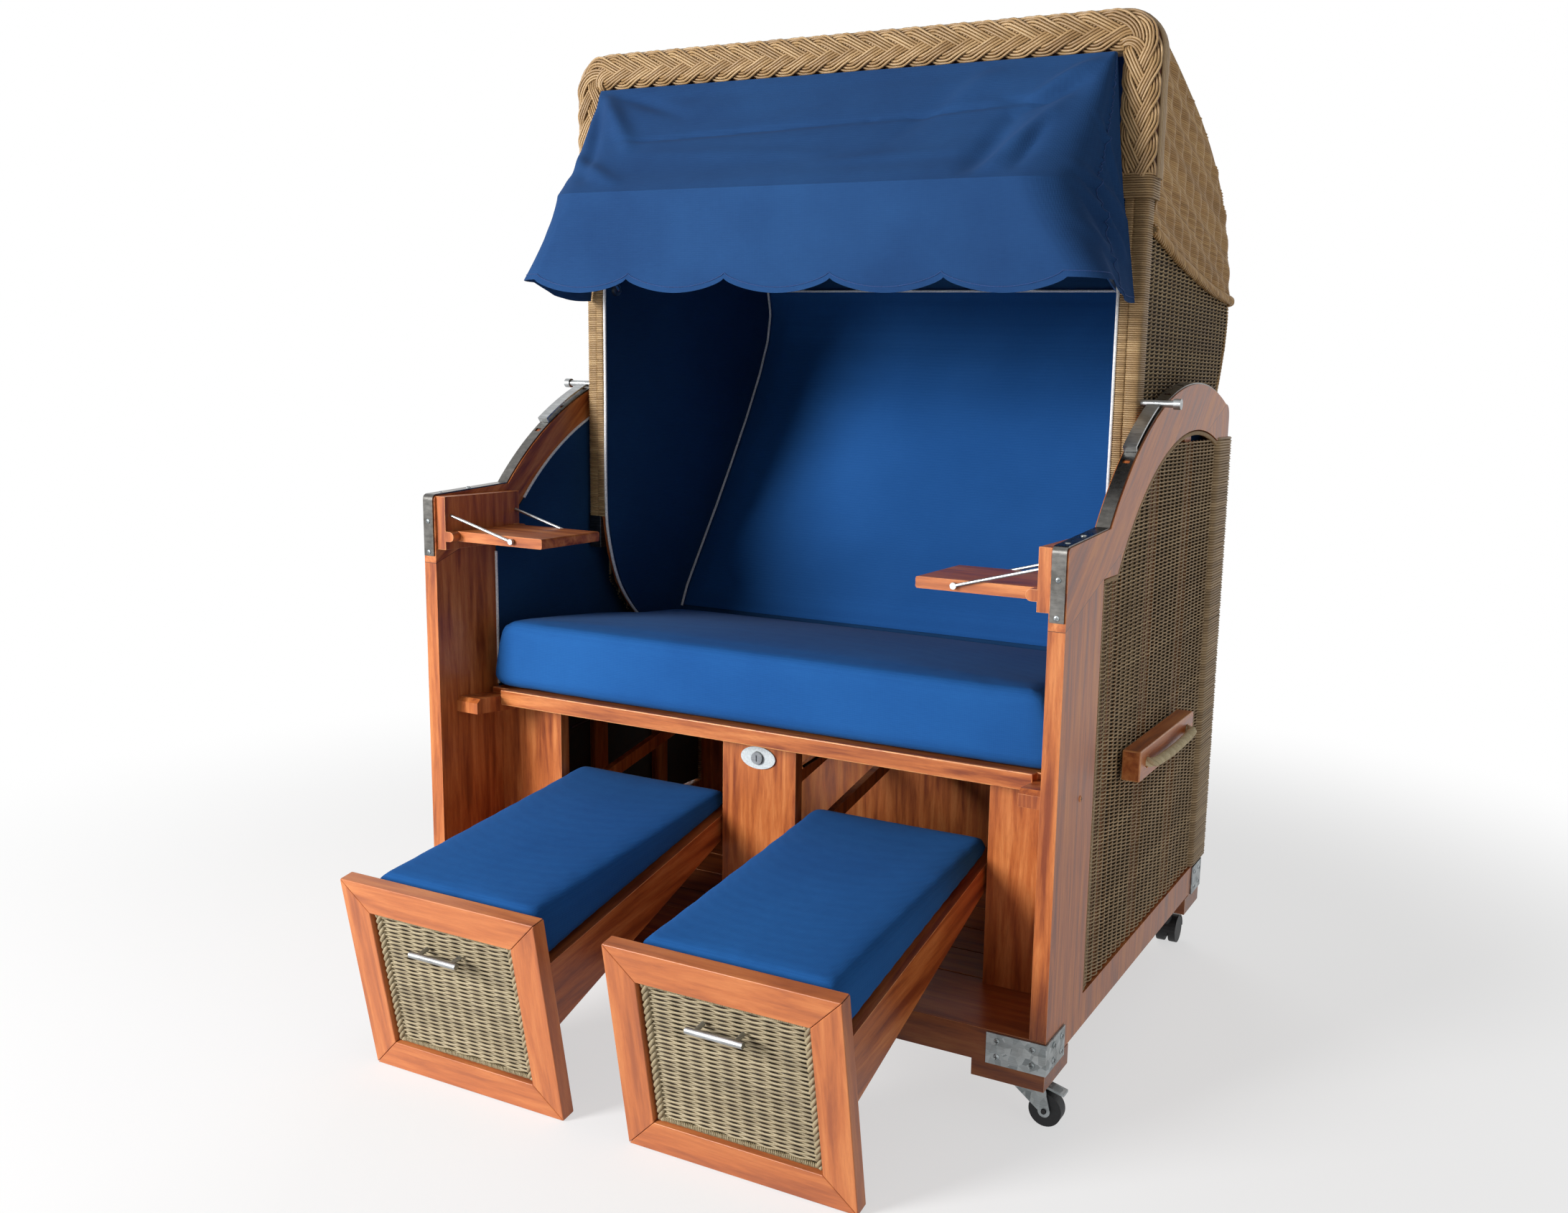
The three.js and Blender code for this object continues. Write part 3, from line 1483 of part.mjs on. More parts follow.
function twinCaster() {
  const inner = twinWebThick / 2;
  const wide = inner + gap + twinWheelWidth + runningGap;
  const ring = (radius) => bar("y", -wide, wide, twinTrail, wheelRadius, radius, 28);
  const cover = ring(twinCoverRadius)
    .subtract(ring(twinCoverRadius - twinCoverThick))
    .subtract(box(-width, width, -width, width, -width, wheelRadius));
  const web = bar("y", -inner, inner, twinTrail, wheelRadius, twinCoverRadius - gap, 28).subtract(
    box(-width, width, -width, width, -width, wheelRadius - 2 * wheelAxleRadius),
  );
  const body = join([
    cover,
    web,
    bar("z", wheelRadius + twinCoverRadius / 2, beamBottom - overrun, 0, 0, stemRadius),
    bar("z", footBottom - gap - plateThick, footBottom - gap, 0, 0, stemPlateRadius),
  ]);
  const hole = bar("y", -width, width, twinTrail, wheelRadius, wheelAxleRadius + runningGap, 20);
  const wheelRoom = [-1, 1].map((side) => {
    const near = side * (inner);
    const far = side * (wide + overrun);
    return bar(
      "y",
      Math.min(near, far),
      Math.max(near, far),
      twinTrail,
      wheelRadius,
      twinCoverRadius - twinCoverThick,
      28,
    );
  });
  return cut(body, [hole, ...wheelRoom]);
}

function twinWheel() {
  const near = twinWebThick / 2 + gap;
  const far = near + twinWheelWidth;
  return join([
    bar("y", near, far, twinTrail, wheelRadius, wheelRadius, 32),
    bar("y", -far, -near, twinTrail, wheelRadius, wheelRadius, 32),
    bar("y", -far, far, twinTrail, wheelRadius, wheelAxleRadius, 20),
  ]);
}

function caster(name, x, y, turn, body, wheels, look) {
  const group = new THREE.Group();
  group.position.set(x, y, 0);
  group.rotation.z = turn;
  chair.add(group);
  place(`${name}_caster`, body, look, group);
  place(`${name}_wheel`, wheels, blackPlastic, group);
}
const [[leftX, frontY], , [, rearY]] = casterPlaces;
const braked = forkCaster().add(brakeLever());
caster("left_front", leftX, frontY, Math.PI, braked, wheel(), zinc);
caster("right_front", -leftX, frontY, 0, braked, wheel(), zinc);
caster("left_rear", leftX, rearY, rearCasterTurn, twinCaster(), twinWheel(), blackPlastic);
caster("right_rear", -leftX, rearY, rearCasterTurn, twinCaster(), twinWheel(), blackPlastic);

const middle = new THREE.Box3().setFromObject(chair).getCenter(new THREE.Vector3());
chair.position.y = -middle.y;

export default chair;
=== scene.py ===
import json
import math
import random
import bmesh
import bpy
from mathutils import Matrix, Vector, noise


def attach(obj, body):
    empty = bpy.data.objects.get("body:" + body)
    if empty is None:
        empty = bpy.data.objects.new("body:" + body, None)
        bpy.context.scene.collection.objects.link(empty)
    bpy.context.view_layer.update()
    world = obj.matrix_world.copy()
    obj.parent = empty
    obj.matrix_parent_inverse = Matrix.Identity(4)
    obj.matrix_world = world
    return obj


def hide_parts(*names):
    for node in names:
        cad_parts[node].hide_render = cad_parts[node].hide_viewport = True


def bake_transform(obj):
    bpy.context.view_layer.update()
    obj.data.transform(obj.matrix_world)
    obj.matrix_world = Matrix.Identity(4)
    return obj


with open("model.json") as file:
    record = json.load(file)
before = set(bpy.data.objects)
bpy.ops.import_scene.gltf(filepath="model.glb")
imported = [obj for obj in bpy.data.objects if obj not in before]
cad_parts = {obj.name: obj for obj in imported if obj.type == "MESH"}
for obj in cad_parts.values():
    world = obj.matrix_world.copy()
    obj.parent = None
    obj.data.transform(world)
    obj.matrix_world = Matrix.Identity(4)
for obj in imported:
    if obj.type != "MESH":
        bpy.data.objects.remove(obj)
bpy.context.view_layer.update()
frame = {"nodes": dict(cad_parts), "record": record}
frontY = 0.3476659  # the front of the posts lies this far in front of the frame's middle
tau = math.tau
sides = (("right", 1), ("left", -1))
bodyOf = {node: body for body, members in frame["record"]["behaviour"]["bodies"].items()
          for node in members}


def newObject(name, data):
    made = bpy.data.objects.new(name, data)
    bpy.context.collection.objects.link(made)
    return made


# Camera: the photograph's own view
camera = {"place": (1.2503, -1.8301, 1.1426), "turn": 0.4446, "pitch": -0.1705, "roll": 0.0295,
          "lens": 31.575, "shift": (-0.0862, 0.0060)}


def setCamera(view):
    cp, sp, ct, st = (math.cos(view["pitch"]), math.sin(view["pitch"]),
                      math.cos(view["turn"]), math.sin(view["turn"]))
    ahead = Vector((-st * cp, ct * cp, sp))
    right = Vector((ct, st, 0))
    up = right.cross(ahead)
    cr, sr = math.cos(view["roll"]), math.sin(view["roll"])
    side, top = cr * right + sr * up, cr * up - sr * right
    lens = bpy.data.cameras.new("camera")
    lens.lens, lens.sensor_width, lens.sensor_fit = view["lens"], 36, "HORIZONTAL"
    lens.shift_x, lens.shift_y = view["shift"]
    lens.clip_start, lens.clip_end = 0.05, 60
    eye = newObject("camera", lens)
    x, y, z = view["place"]
    turn = Matrix((side, top, -ahead)).transposed().to_4x4()
    eye.matrix_world = Matrix.Translation((x, y - frontY, z)) @ turn
    bpy.context.scene.camera = eye


setCamera(camera)
print("camera set")


# Small helpers
def tone(code):
    def linear(v):
        v /= 255
        return v / 12.92 if v <= 0.04045 else ((v + 0.055) / 1.055) ** 2.4
    return (*(linear(int(code[i:i + 2], 16)) for i in (0, 2, 4)), 1)


def addNode(tree, kind, inputs=None, **settings):
    made = tree.nodes.new(kind)
    for key, value in settings.items():
        setattr(made, key, value)
    for key, value in (inputs or {}).items():
        if isinstance(value, bpy.types.NodeSocket):
            tree.links.new(value, made.inputs[key])
        else:
            made.inputs[key].default_value = value
    return made


def mathNode(tree, operation, a, b=0.0, c=None):
    inputs = {0: a, 1: b} if c is None else {0: a, 1: b, 2: c}
    return addNode(tree, "ShaderNodeMath", inputs, operation=operation).outputs[0]


def smooth(low, high, value):
    t = min(max((value - low) / (high - low), 0), 1)
    return t * t * (3 - 2 * t)


def mix(a, b, t):
    return a + (b - a) * t


def spread(low, high, count):
    return [low + (high - low) * i / count for i in range(count + 1)]


def between(pairs, value):
    if value <= pairs[0][0]:
        return pairs[0][1]
    for (a, va), (b, vb) in zip(pairs, pairs[1:]):
        if value <= b:
            return va + (vb - va) * (value - a) / (b - a)
    return pairs[-1][1]


# A path through points, rounded, with a point every step
def smoothPath(points, step):
    points = [Vector(p) for p in points]
    ends = [2 * points[0] - points[1], *points, 2 * points[-1] - points[-2]]
    dense = []
    for a, b, c, d in zip(ends, ends[1:], ends[2:], ends[3:]):
        long = (c - b).length
        leave = (c - a) * long / ((b - a).length + long)
        arrive = (d - b) * long / (long + (d - c).length)
        for i in range(12):
            t = i / 12
            dense.append(b * (2 * t ** 3 - 3 * t * t + 1) + leave * (t ** 3 - 2 * t * t + t)
                         + c * (3 * t * t - 2 * t ** 3) + arrive * (t ** 3 - t * t))
    dense.append(points[-1])
    return evenPath(dense, step)


def evenPath(points, step):
    points = [Vector(p) for p in points]
    runs = [0.0]
    for a, b in zip(points, points[1:]):
        runs.append(runs[-1] + (b - a).length)
    count = max(int(round(runs[-1] / step)), 1)
    path, k = [], 0
    for i in range(count + 1):
        run = runs[-1] * i / count
        while k < len(points) - 2 and runs[k + 1] < run:
            k += 1
        span = runs[k + 1] - runs[k]
        path.append(points[k].lerp(points[k + 1], (run - runs[k]) / span if span else 0))
    return path


def alongAt(path, i, ahead=1):
    return (path[min(i + ahead, len(path) - 1)] - path[max(i - 1, 0)]).normalized()


def setLooks(mesh, *looks):
    mesh.materials.clear()
    for look in looks:
        mesh.materials.append(look)


# A mesh given in the part's own places, from the front of the posts
def meshPiece(name, places, faces, looks=(), edges=()):
    mesh = bpy.data.meshes.new(name)
    mesh.from_pydata([(x, y - frontY, z) for x, y, z in places], edges, faces)
    setLooks(mesh, *looks)
    return newObject(name, mesh)


def baked(piece):
    bpy.context.view_layer.update()
    graph = bpy.context.evaluated_depsgraph_get()
    mesh = bpy.data.meshes.new_from_object(piece.evaluated_get(graph),
                                           preserve_all_data_layers=True, depsgraph=graph)
    piece.modifiers.clear()
    old, piece.data = piece.data, mesh
    bpy.data.meshes.remove(old)
    return piece


def smoothFaces(piece, angle=None):
    for face in piece.data.polygons:
        face.use_smooth = True
    if angle:
        piece.data.set_sharp_from_angle(angle=math.radians(angle))
    return piece


def painted(piece, kinds):
    for face, kind in zip(piece.data.polygons, kinds):
        face.material_index = kind
    return piece


def thickened(piece, thickness, offset=0):
    change = piece.modifiers.new("thick", "SOLIDIFY")
    change.thickness, change.offset = thickness, offset
    return baked(piece)


def bevelled(piece, width, angle=30, material=-1):
    change = piece.modifiers.new("edges", "BEVEL")
    change.width, change.segments, change.limit_method = width, 2, "ANGLE"
    change.angle_limit, change.harden_normals = math.radians(angle), True
    change.material = material
    return baked(piece)


def outward(piece):
    shape = bmesh.new()
    shape.from_mesh(piece.data)
    bmesh.ops.remove_doubles(shape, verts=shape.verts, dist=1e-6)
    bmesh.ops.recalc_face_normals(shape, faces=shape.faces)
    shape.to_mesh(piece.data)
    shape.free()
    return piece


def given(piece, body, slot, replaced=()):
    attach(piece, body)
    if replaced:
        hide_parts(*replaced)
    return piece


# Materials
def startLook(name, **shader):
    look = bpy.data.materials.new(name)
    look.use_nodes = True
    tree = look.node_tree
    base = tree.nodes["Principled BSDF"]
    for key, value in shader.items():
        base.inputs[key.replace("_", " ")].default_value = value
    return look, tree, base


def ramp(tree, value, stops):
    made = addNode(tree, "ShaderNodeValToRGB", {0: value})
    bar = made.color_ramp
    while len(bar.elements) < len(stops):
        bar.elements.new(0.5)
    for element, (place, color) in zip(bar.elements, stops):
        element.position, element.color = place, color
    return made.outputs[0]


def mixColors(tree, factor, a, b, blend="MIX"):
    made = addNode(tree, "ShaderNodeMix", data_type="RGBA", blend_type=blend)
    for index, value in ((0, factor), (6, a), (7, b)):
        if isinstance(value, bpy.types.NodeSocket):
            tree.links.new(value, made.inputs[index])
        else:
            made.inputs[index].default_value = value
    return made.outputs[2]


def noiseOf(tree, place, scale, detail=3.0, rough=0.5, distortion=0.0):
    inputs = {"Vector": place, "Scale": scale, "Detail": detail, "Roughness": rough,
              "Distortion": distortion}
    return addNode(tree, "ShaderNodeTexNoise", inputs).outputs[0]


def endLook(parts, color, height, strength, depth, rough=None):
    look, tree, base = parts
    bump = addNode(tree, "ShaderNodeBump", {"Height": height, "Strength": strength, "Distance": depth})
    tree.links.new(color, base.inputs["Base Color"])
    tree.links.new(bump.outputs[0], base.inputs["Normal"])
    if rough is not None:
        tree.links.new(rough, base.inputs["Roughness"])
    return look


def mottled(tree, factor, color, value, low, high, shade):
    spots = ramp(tree, value, [(low, (*shade, 1)), (high, (1, 1, 1, 1))])
    return mixColors(tree, factor, color, spots, "MULTIPLY")


def placeOf(tree, scale=(1, 1, 1), turn=(0, 0, 0)):
    at = addNode(tree, "ShaderNodeTexCoord").outputs["Object"]
    turned = addNode(tree, "ShaderNodeMapping", {0: at, "Rotation": turn}).outputs[0]
    return addNode(tree, "ShaderNodeMapping", {0: turned, "Scale": scale}).outputs[0]


# The shade tone is painted shade, mixed into the wood under the seat and into the footrest boxes.
woodGrain = {"along": 1.3, "across": 15.0, "streak": 3.2, "pore": 9.0,
             "dark": "823c1c", "middle": "b6642f", "light": "d4864a", "edge": "e09a5c", "highlightDim": "b8683c",
             "pink": "bb7149", "shade": "3c1d14", "joint": "35170b", "jointHalf": 0.0006}


def woodLook(name, axis, tilt=0.0, dark=0.0, joint=None, pink=0.0):
    parts = startLook(name, Roughness=0.45, Coat_Weight=0.16, Coat_Roughness=0.18,
                      Specular_IOR_Level=0.35)
    tree = parts[1]
    scales = {a: [woodGrain["along"] if a == b else woodGrain["across"] for b in "xyz"]
              for a in "xyz"}

    def grainOf(direction, turn):
        place = placeOf(tree, scales[direction], (turn, 0, 0))
        broad = noiseOf(tree, place, woodGrain["streak"], 5, 0.6, 0.35)
        fine = noiseOf(tree, place, woodGrain["pore"] * 6, 3, 0.7)
        return broad, fine

    broad, fine = grainOf(axis, -tilt)
    if joint:
        at = addNode(tree, "ShaderNodeTexCoord").outputs["Object"]
        split = addNode(tree, "ShaderNodeSeparateXYZ", {0: at})
        line = mathNode(tree, "MULTIPLY_ADD", split.outputs[1], -joint["slope"], joint["offset"])
        over = mathNode(tree, "ADD", split.outputs[2], line)
        above = mathNode(tree, "GREATER_THAN", over, 0.0)
        near = mathNode(tree, "LESS_THAN", mathNode(tree, "ABSOLUTE", over), woodGrain["jointHalf"])
        other, otherFine = grainOf("y", joint["turn"])
        below = mathNode(tree, "SUBTRACT", 1.0, above)
        broad, fine = (mathNode(tree, "ADD", mathNode(tree, "MULTIPLY", a, above),
                                mathNode(tree, "MULTIPLY", b, below))
                       for a, b in ((other, broad), (otherFine, fine)))
    color = ramp(tree, broad, [(stop, tone(woodGrain[shade])) for stop, shade in
                               ((0.34, "dark"), (0.5, "middle"), (0.68, "light"))])
    color = mottled(tree, 0.4, color, fine, 0.3, 0.55, (0.62, 0.55, 0.5))
    if pink:
        color = mixColors(tree, pink, color, tone(woodGrain["pink"]))
    # dark mixes in the shade tone: painted shade on wood that sits under the seat or in the footrest boxes
    if dark:
        color = mixColors(tree, dark, color, tone(woodGrain["shade"]))
    if joint:
        color = mixColors(tree, mathNode(tree, "MULTIPLY", near, 0.75), color, tone(woodGrain["joint"]))
    return endLook(parts, color, fine, 0.25, 0.0006, mathNode(tree, "MULTIPLY_ADD", broad, 0.22, 0.28))


# Lighter wood for the bevelled edges: a painted highlight along the edges, mottled between the two edge
# tones
def edgeHighlightLook(name):
    parts = startLook(name, Roughness=0.42, Coat_Weight=0.3, Coat_Roughness=0.3)
    tree = parts[1]
    highlightMottle = noiseOf(tree, placeOf(tree), 60.0, 4, 0.6)
    color = ramp(tree, highlightMottle, [(0.3, tone(woodGrain["highlightDim"])), (0.6, tone(woodGrain["edge"]))])
    return endLook(parts, color, highlightMottle, 0.2, 0.0006)


def caneLook(name, dark, middle, light, roughness=0.5, patches=0.5):
    parts = startLook(name, Roughness=roughness, Coat_Weight=0.12, Coat_Roughness=0.4)
    tree = parts[1]
    shade = addNode(tree, "ShaderNodeAttribute", attribute_name="shade").outputs["Fac"]
    place = placeOf(tree)
    patch = noiseOf(tree, place, 9.0, 3, 0.6)
    fleck = noiseOf(tree, place, 420.0, 2, 0.6)
    mixed = mathNode(tree, "ADD", mathNode(tree, "MULTIPLY_ADD", shade, 0.4, 0.05),
                     mathNode(tree, "MULTIPLY", patch, patches))
    color = ramp(tree, mixed, [(0.2, tone(dark)), (0.5, tone(middle)), (0.8, tone(light))])
    color = mottled(tree, 0.6, color, fleck, 0.3, 0.55, (0.72, 0.66, 0.6))
    return endLook(parts, color, fleck, 0.35, 0.0005)


clothWeave = {"threads": 620.0, "height": 0.0004}


def clothLook(name, dark, light, fade=2.2):
    parts = startLook(name, Roughness=0.92, Sheen_Weight=0.02, Sheen_Roughness=0.4,
                      Specular_IOR_Level=0.1)
    tree = parts[1]
    place = placeOf(tree)
    waves = []
    for direction in ("X", "Y", "Z"):
        wave = addNode(tree, "ShaderNodeTexWave",
                       {"Vector": place, "Scale": clothWeave["threads"] / tau, "Distortion": 0.6,
                        "Detail": 1.0, "Detail Scale": 2.0},
                       wave_type="BANDS", bands_direction=direction)
        waves.append(wave.outputs["Fac"])
    weave = mathNode(tree, "MULTIPLY", mathNode(tree, "ADD", mathNode(tree, "ADD", *waves[:2]),
                                                waves[2]), 0.333)
    cloud = noiseOf(tree, place, fade, 4, 0.55)
    slub = noiseOf(tree, placeOf(tree, (60, 60, 900)), 1.0, 3, 0.6)
    value = mathNode(tree, "ADD", mathNode(tree, "MULTIPLY", cloud, 0.75),
                     mathNode(tree, "MULTIPLY", slub, 0.25))
    color = ramp(tree, value, [(0.3, tone(dark)), (0.7, tone(light))])
    color = mottled(tree, 0.35, color, weave, 0.2, 0.7, (0.7, 0.72, 0.78))
    return endLook(parts, color, weave, 0.5, clothWeave["height"])


def metalLook(name, dark, light, roughness, spangle=0.0, grainScale=(40, 40, 900)):
    parts = startLook(name, Metallic=1.0, Roughness=roughness)
    tree = parts[1]
    place = placeOf(tree)
    brushed = noiseOf(tree, placeOf(tree, grainScale), 1.0, 3, 0.6)
    value = brushed
    if spangle:
        cell = addNode(tree, "ShaderNodeTexVoronoi", {"Vector": place, "Scale": spangle})
        value = mathNode(tree, "ADD", mathNode(tree, "MULTIPLY", brushed, 0.4),
                         mathNode(tree, "MULTIPLY", cell.outputs["Color"], 0.6))
    stain = noiseOf(tree, place, 26.0, 4, 0.65)
    color = ramp(tree, value, [(0.25, tone(dark)), (0.75, tone(light))])
    color = mottled(tree, 0.5, color, stain, 0.35, 0.6, (0.6, 0.58, 0.55))
    rough = mathNode(tree, "MULTIPLY_ADD", stain, 0.25, roughness - 0.1)
    return endLook(parts, color, value, 0.12, 0.0004, rough)


def plainLook(name, dark, light, roughness, scale=90.0, depth=0.0004, metallic=0.0):
    parts = startLook(name, Roughness=roughness, Metallic=metallic)
    tree = parts[1]
    grain = noiseOf(tree, placeOf(tree), scale, 4, 0.6)
    color = ramp(tree, grain, [(0.35, tone(dark)), (0.65, tone(light))])
    rough = mathNode(tree, "MULTIPLY_ADD", grain, 0.2, roughness - 0.1)
    return endLook(parts, color, grain, 0.3, depth, rough)


footrestTilt = math.radians(10.2)
armJoint = {"slope": 0.36, "offset": -(0.792 + 0.36 * frontY), "turn": -0.7}
woodX = woodLook("woodAcross", "x")
woodY = woodLook("woodBack", "y")
woodZ = woodLook("woodUpright", "z")
woodArm = woodLook("woodArm", "z", joint=armJoint)
woodFrameX = woodLook("woodFrameAcross", "x", pink=0.35)
woodFrameZ = woodLook("woodFrameUp", "z", footrestTilt, pink=0.35)
# the floor frame under the seat is darkened with painted shade, the footrest boxes a little
woodPaintedShade = woodLook("woodShaded", "x", dark=0.45)
woodBoxPaintedShade = woodLook("woodBoxShaded", "y", footrestTilt, dark=0.1)
woodEdgeHighlight = edgeHighlightLook("woodEdgeHighlight")
cane = caneLook("caneBraid", "8a6b44", "a78659", "bd9e72", 0.45, 0.5)
woundCane = caneLook("caneWound", "866b47", "a3855c", "ba9e73", 0.5, 0.5)
# dark brown for the braid's core: painted shadow in the gaps between the canes
canePaintedShadow = plainLook("caneShadow", "3a1a0d", "522815", 0.8)
sideCane = caneLook("caneSide", "8b7352", "a98f6b", "c4aa83", 0.6)
hoodCane = caneLook("caneHood", "a07c4c", "bd9662", "d4b07a", 0.6)
# a darker copy of the cane: painted shade for the ribs and cores behind the weave and for the hood's open
# lower weave
shadedCane = caneLook("caneShaded", "756044", "907955", "ab946d", 0.65)
panelCane = caneLook("canePanel", "81745a", "9a8c6d", "b0a283", 0.6)
blueCloth = clothLook("clothBlue", "1c4e8b", "2661a2")
awningCloth = clothLook("clothAwning", "1d3a64", "264b7a", 3.5)
liningCloth = clothLook("clothLining", "163357", "1f4772")
padCloth = clothLook("clothPad", "1b4c88", "265b9c")
pipingCloth = plainLook("clothPiping", "cfd2d6", "f0f1f2", 0.7, 300.0)
seamThread = plainLook("threadBlue", "16305c", "234a86", 0.8, 500.0)
steel = metalLook("steelStrip", "5b5a58", "7d7b77", 0.26, grainScale=(60, 60, 160))
brightSteel = metalLook("steelBright", "8d9092", "c4c7c8", 0.34)
plateMetal = plainLook("plateSatin", "b9c2c4", "d3dadb", 0.45, 300.0, 0.0002)
zinc = metalLook("zincCoated", "7f8688", "b5bbbd", 0.42, 90.0)
darkSteel = metalLook("steelDark", "2c2f33", "5a5d61", 0.38)
black = plainLook("blackRubber", "141517", "26282b", 0.6)
blackRod = plainLook("blackRod", "0d0e10", "1c1e21", 0.35)
ropeLook = caneLook("ropeFibre", "b5a37c", "d8c9a4", "ece0c3", 0.85, 0.4)
# dark sheets and strands behind the weaves: painted shade seen through the gaps
paintedShadeBacking = plainLook("backingPaintedShade", "170f08", "281b10", 0.9, 60.0)
print("materials made")


# Geometry Nodes: strands that follow the edges of a mesh and bulge over the ribs
def startTree(name, sockets):
    tree = bpy.data.node_groups.new(name, "GeometryNodeTree")
    tree.interface.new_socket("Geometry", in_out="INPUT", socket_type="NodeSocketGeometry")
    for label, kind in sockets:
        tree.interface.new_socket(label, in_out="INPUT", socket_type="NodeSocket" + kind)
    tree.interface.new_socket("Geometry", in_out="OUTPUT", socket_type="NodeSocketGeometry")
    return tree, addNode(tree, "NodeGroupInput").outputs


def endTree(tree, geometry):
    realized = addNode(tree, "GeometryNodeRealizeInstances", {0: geometry}).outputs[0]
    addNode(tree, "NodeGroupOutput", {0: realized})
    return tree


def namedValue(tree, name, kind="FLOAT"):
    made = addNode(tree, "GeometryNodeInputNamedAttribute", data_type=kind)
    made.inputs["Name"].default_value = name
    return made.outputs["Attribute"]


def vectorNode(tree, operation, a, b):
    made = addNode(tree, "ShaderNodeVectorMath", operation=operation)
    tree.links.new(a, made.inputs[0])
    if operation == "SCALE":
        tree.links.new(b, made.inputs["Scale"])
    else:
        tree.links.new(b, made.inputs[1])
    return made.outputs[0]


def tubeOf(tree, curve, inputs):
    ring = addNode(tree, "GeometryNodeCurvePrimitiveCircle",
                   {"Resolution": inputs["Sides"], "Radius": inputs["Strand Radius"]}).outputs[0]
    mesh = addNode(tree, "GeometryNodeCurveToMesh",
                   {"Curve": curve, "Profile Curve": ring, "Fill Caps": True}).outputs[0]
    return addNode(tree, "GeometryNodeSetMaterial",
                   {"Geometry": mesh, "Material": inputs["Look"]}).outputs[0]


def makeWeaveTree():
    tree, inputs = startTree("weaveStrands", [
        ("Rib Pitch", "Float"), ("Bulge", "Float"), ("Lean", "Float"),
        ("Strand Radius", "Float"), ("Sides", "Int"), ("Look", "Material")])
    turn = mathNode(tree, "MULTIPLY", mathNode(tree, "DIVIDE", namedValue(tree, "run"),
                                               inputs["Rib Pitch"]), tau)
    bulge = mathNode(tree, "MULTIPLY", mathNode(tree, "COSINE", turn), inputs["Bulge"])
    lean = mathNode(tree, "MULTIPLY", mathNode(tree, "SINE", turn), inputs["Lean"])
    out = vectorNode(tree, "SCALE", namedValue(tree, "out", "FLOAT_VECTOR"), bulge)
    up = vectorNode(tree, "SCALE", namedValue(tree, "up", "FLOAT_VECTOR"), lean)
    moved = addNode(tree, "GeometryNodeSetPosition",
                    {"Geometry": inputs["Geometry"], "Offset": vectorNode(tree, "ADD", out, up)})
    curve = addNode(tree, "GeometryNodeMeshToCurve", {0: moved.outputs[0]}).outputs[0]
    girth = addNode(tree, "GeometryNodeSetCurveRadius",
                    {"Curve": curve, "Radius": namedValue(tree, "girth")}).outputs[0]
    return endTree(tree, tubeOf(tree, girth, inputs))


# Geometry Nodes: a strand wound round a path, for ropes and rolled borders
def makeCoilTree():
    tree, inputs = startTree("coilStrands", [
        ("Pitch", "Float"), ("Coil Radius", "Float"), ("Step", "Float"),
        ("Strand Radius", "Float"), ("Sides", "Int"), ("Look", "Material")])
    curve = addNode(tree, "GeometryNodeMeshToCurve", {0: inputs["Geometry"]}).outputs[0]
    fine = addNode(tree, "GeometryNodeResampleCurve",
                   {"Curve": curve, "Length": inputs["Step"]}, mode="LENGTH")
    run = addNode(tree, "GeometryNodeSplineParameter").outputs["Length"]
    turn = mathNode(tree, "MULTIPLY", mathNode(tree, "DIVIDE", run, inputs["Pitch"]), tau)
    turn = mathNode(tree, "ADD", turn, namedValue(tree, "phase"))
    turned = addNode(tree, "ShaderNodeVectorRotate",
                     {"Vector": addNode(tree, "GeometryNodeInputNormal").outputs[0],
                      "Axis": addNode(tree, "GeometryNodeInputTangent").outputs[0],
                      "Angle": turn}, rotation_type="AXIS_ANGLE").outputs[0]
    offset = vectorNode(tree, "SCALE", turned, inputs["Coil Radius"])
    moved = addNode(tree, "GeometryNodeSetPosition",
                    {"Geometry": fine.outputs[0], "Offset": offset}).outputs[0]
    return endTree(tree, tubeOf(tree, moved, inputs))


# Geometry Nodes: domed screws on points
def makeScrewTree():
    tree, inputs = startTree("domedScrews", [
        ("Head Radius", "Float"), ("Look", "Material"), ("Slot Look", "Material")])
    head = addNode(tree, "GeometryNodeMeshUVSphere", {"Segments": 16, "Rings": 8}).outputs[0]
    flat = addNode(tree, "GeometryNodeTransform", {"Geometry": head, "Scale": (1, 1, 0.42)}).outputs[0]
    headLook = addNode(tree, "GeometryNodeSetMaterial", {0: flat, "Material": inputs["Look"]})
    slots = []
    for size in ((1.25, 0.2, 0.2), (0.2, 1.25, 0.2)):
        cube = addNode(tree, "GeometryNodeMeshCube", {"Size": size}).outputs[0]
        slots.append(addNode(tree, "GeometryNodeTransform",
                             {"Geometry": cube, "Translation": (0, 0, 0.33)}).outputs[0])
    both = addNode(tree, "GeometryNodeJoinGeometry")
    for slot in slots:
        tree.links.new(slot, both.inputs[0])
    slotLook = addNode(tree, "GeometryNodeSetMaterial",
                       {0: both.outputs[0], "Material": inputs["Slot Look"]})
    whole = addNode(tree, "GeometryNodeJoinGeometry")
    tree.links.new(headLook.outputs[0], whole.inputs[0])
    tree.links.new(slotLook.outputs[0], whole.inputs[0])
    points = addNode(tree, "GeometryNodeMeshToPoints", {0: inputs["Geometry"]}).outputs[0]
    turn = addNode(tree, "FunctionNodeAlignRotationToVector",
                   {"Vector": namedValue(tree, "out", "FLOAT_VECTOR")}, axis="Z").outputs[0]
    placed = addNode(tree, "GeometryNodeInstanceOnPoints",
                     {"Points": points, "Instance": whole.outputs[0], "Rotation": turn,
                      "Scale": inputs["Head Radius"]})
    return endTree(tree, placed.outputs[0])


weaveTree, coilTree, screwTree = makeWeaveTree(), makeCoilTree(), makeScrewTree()


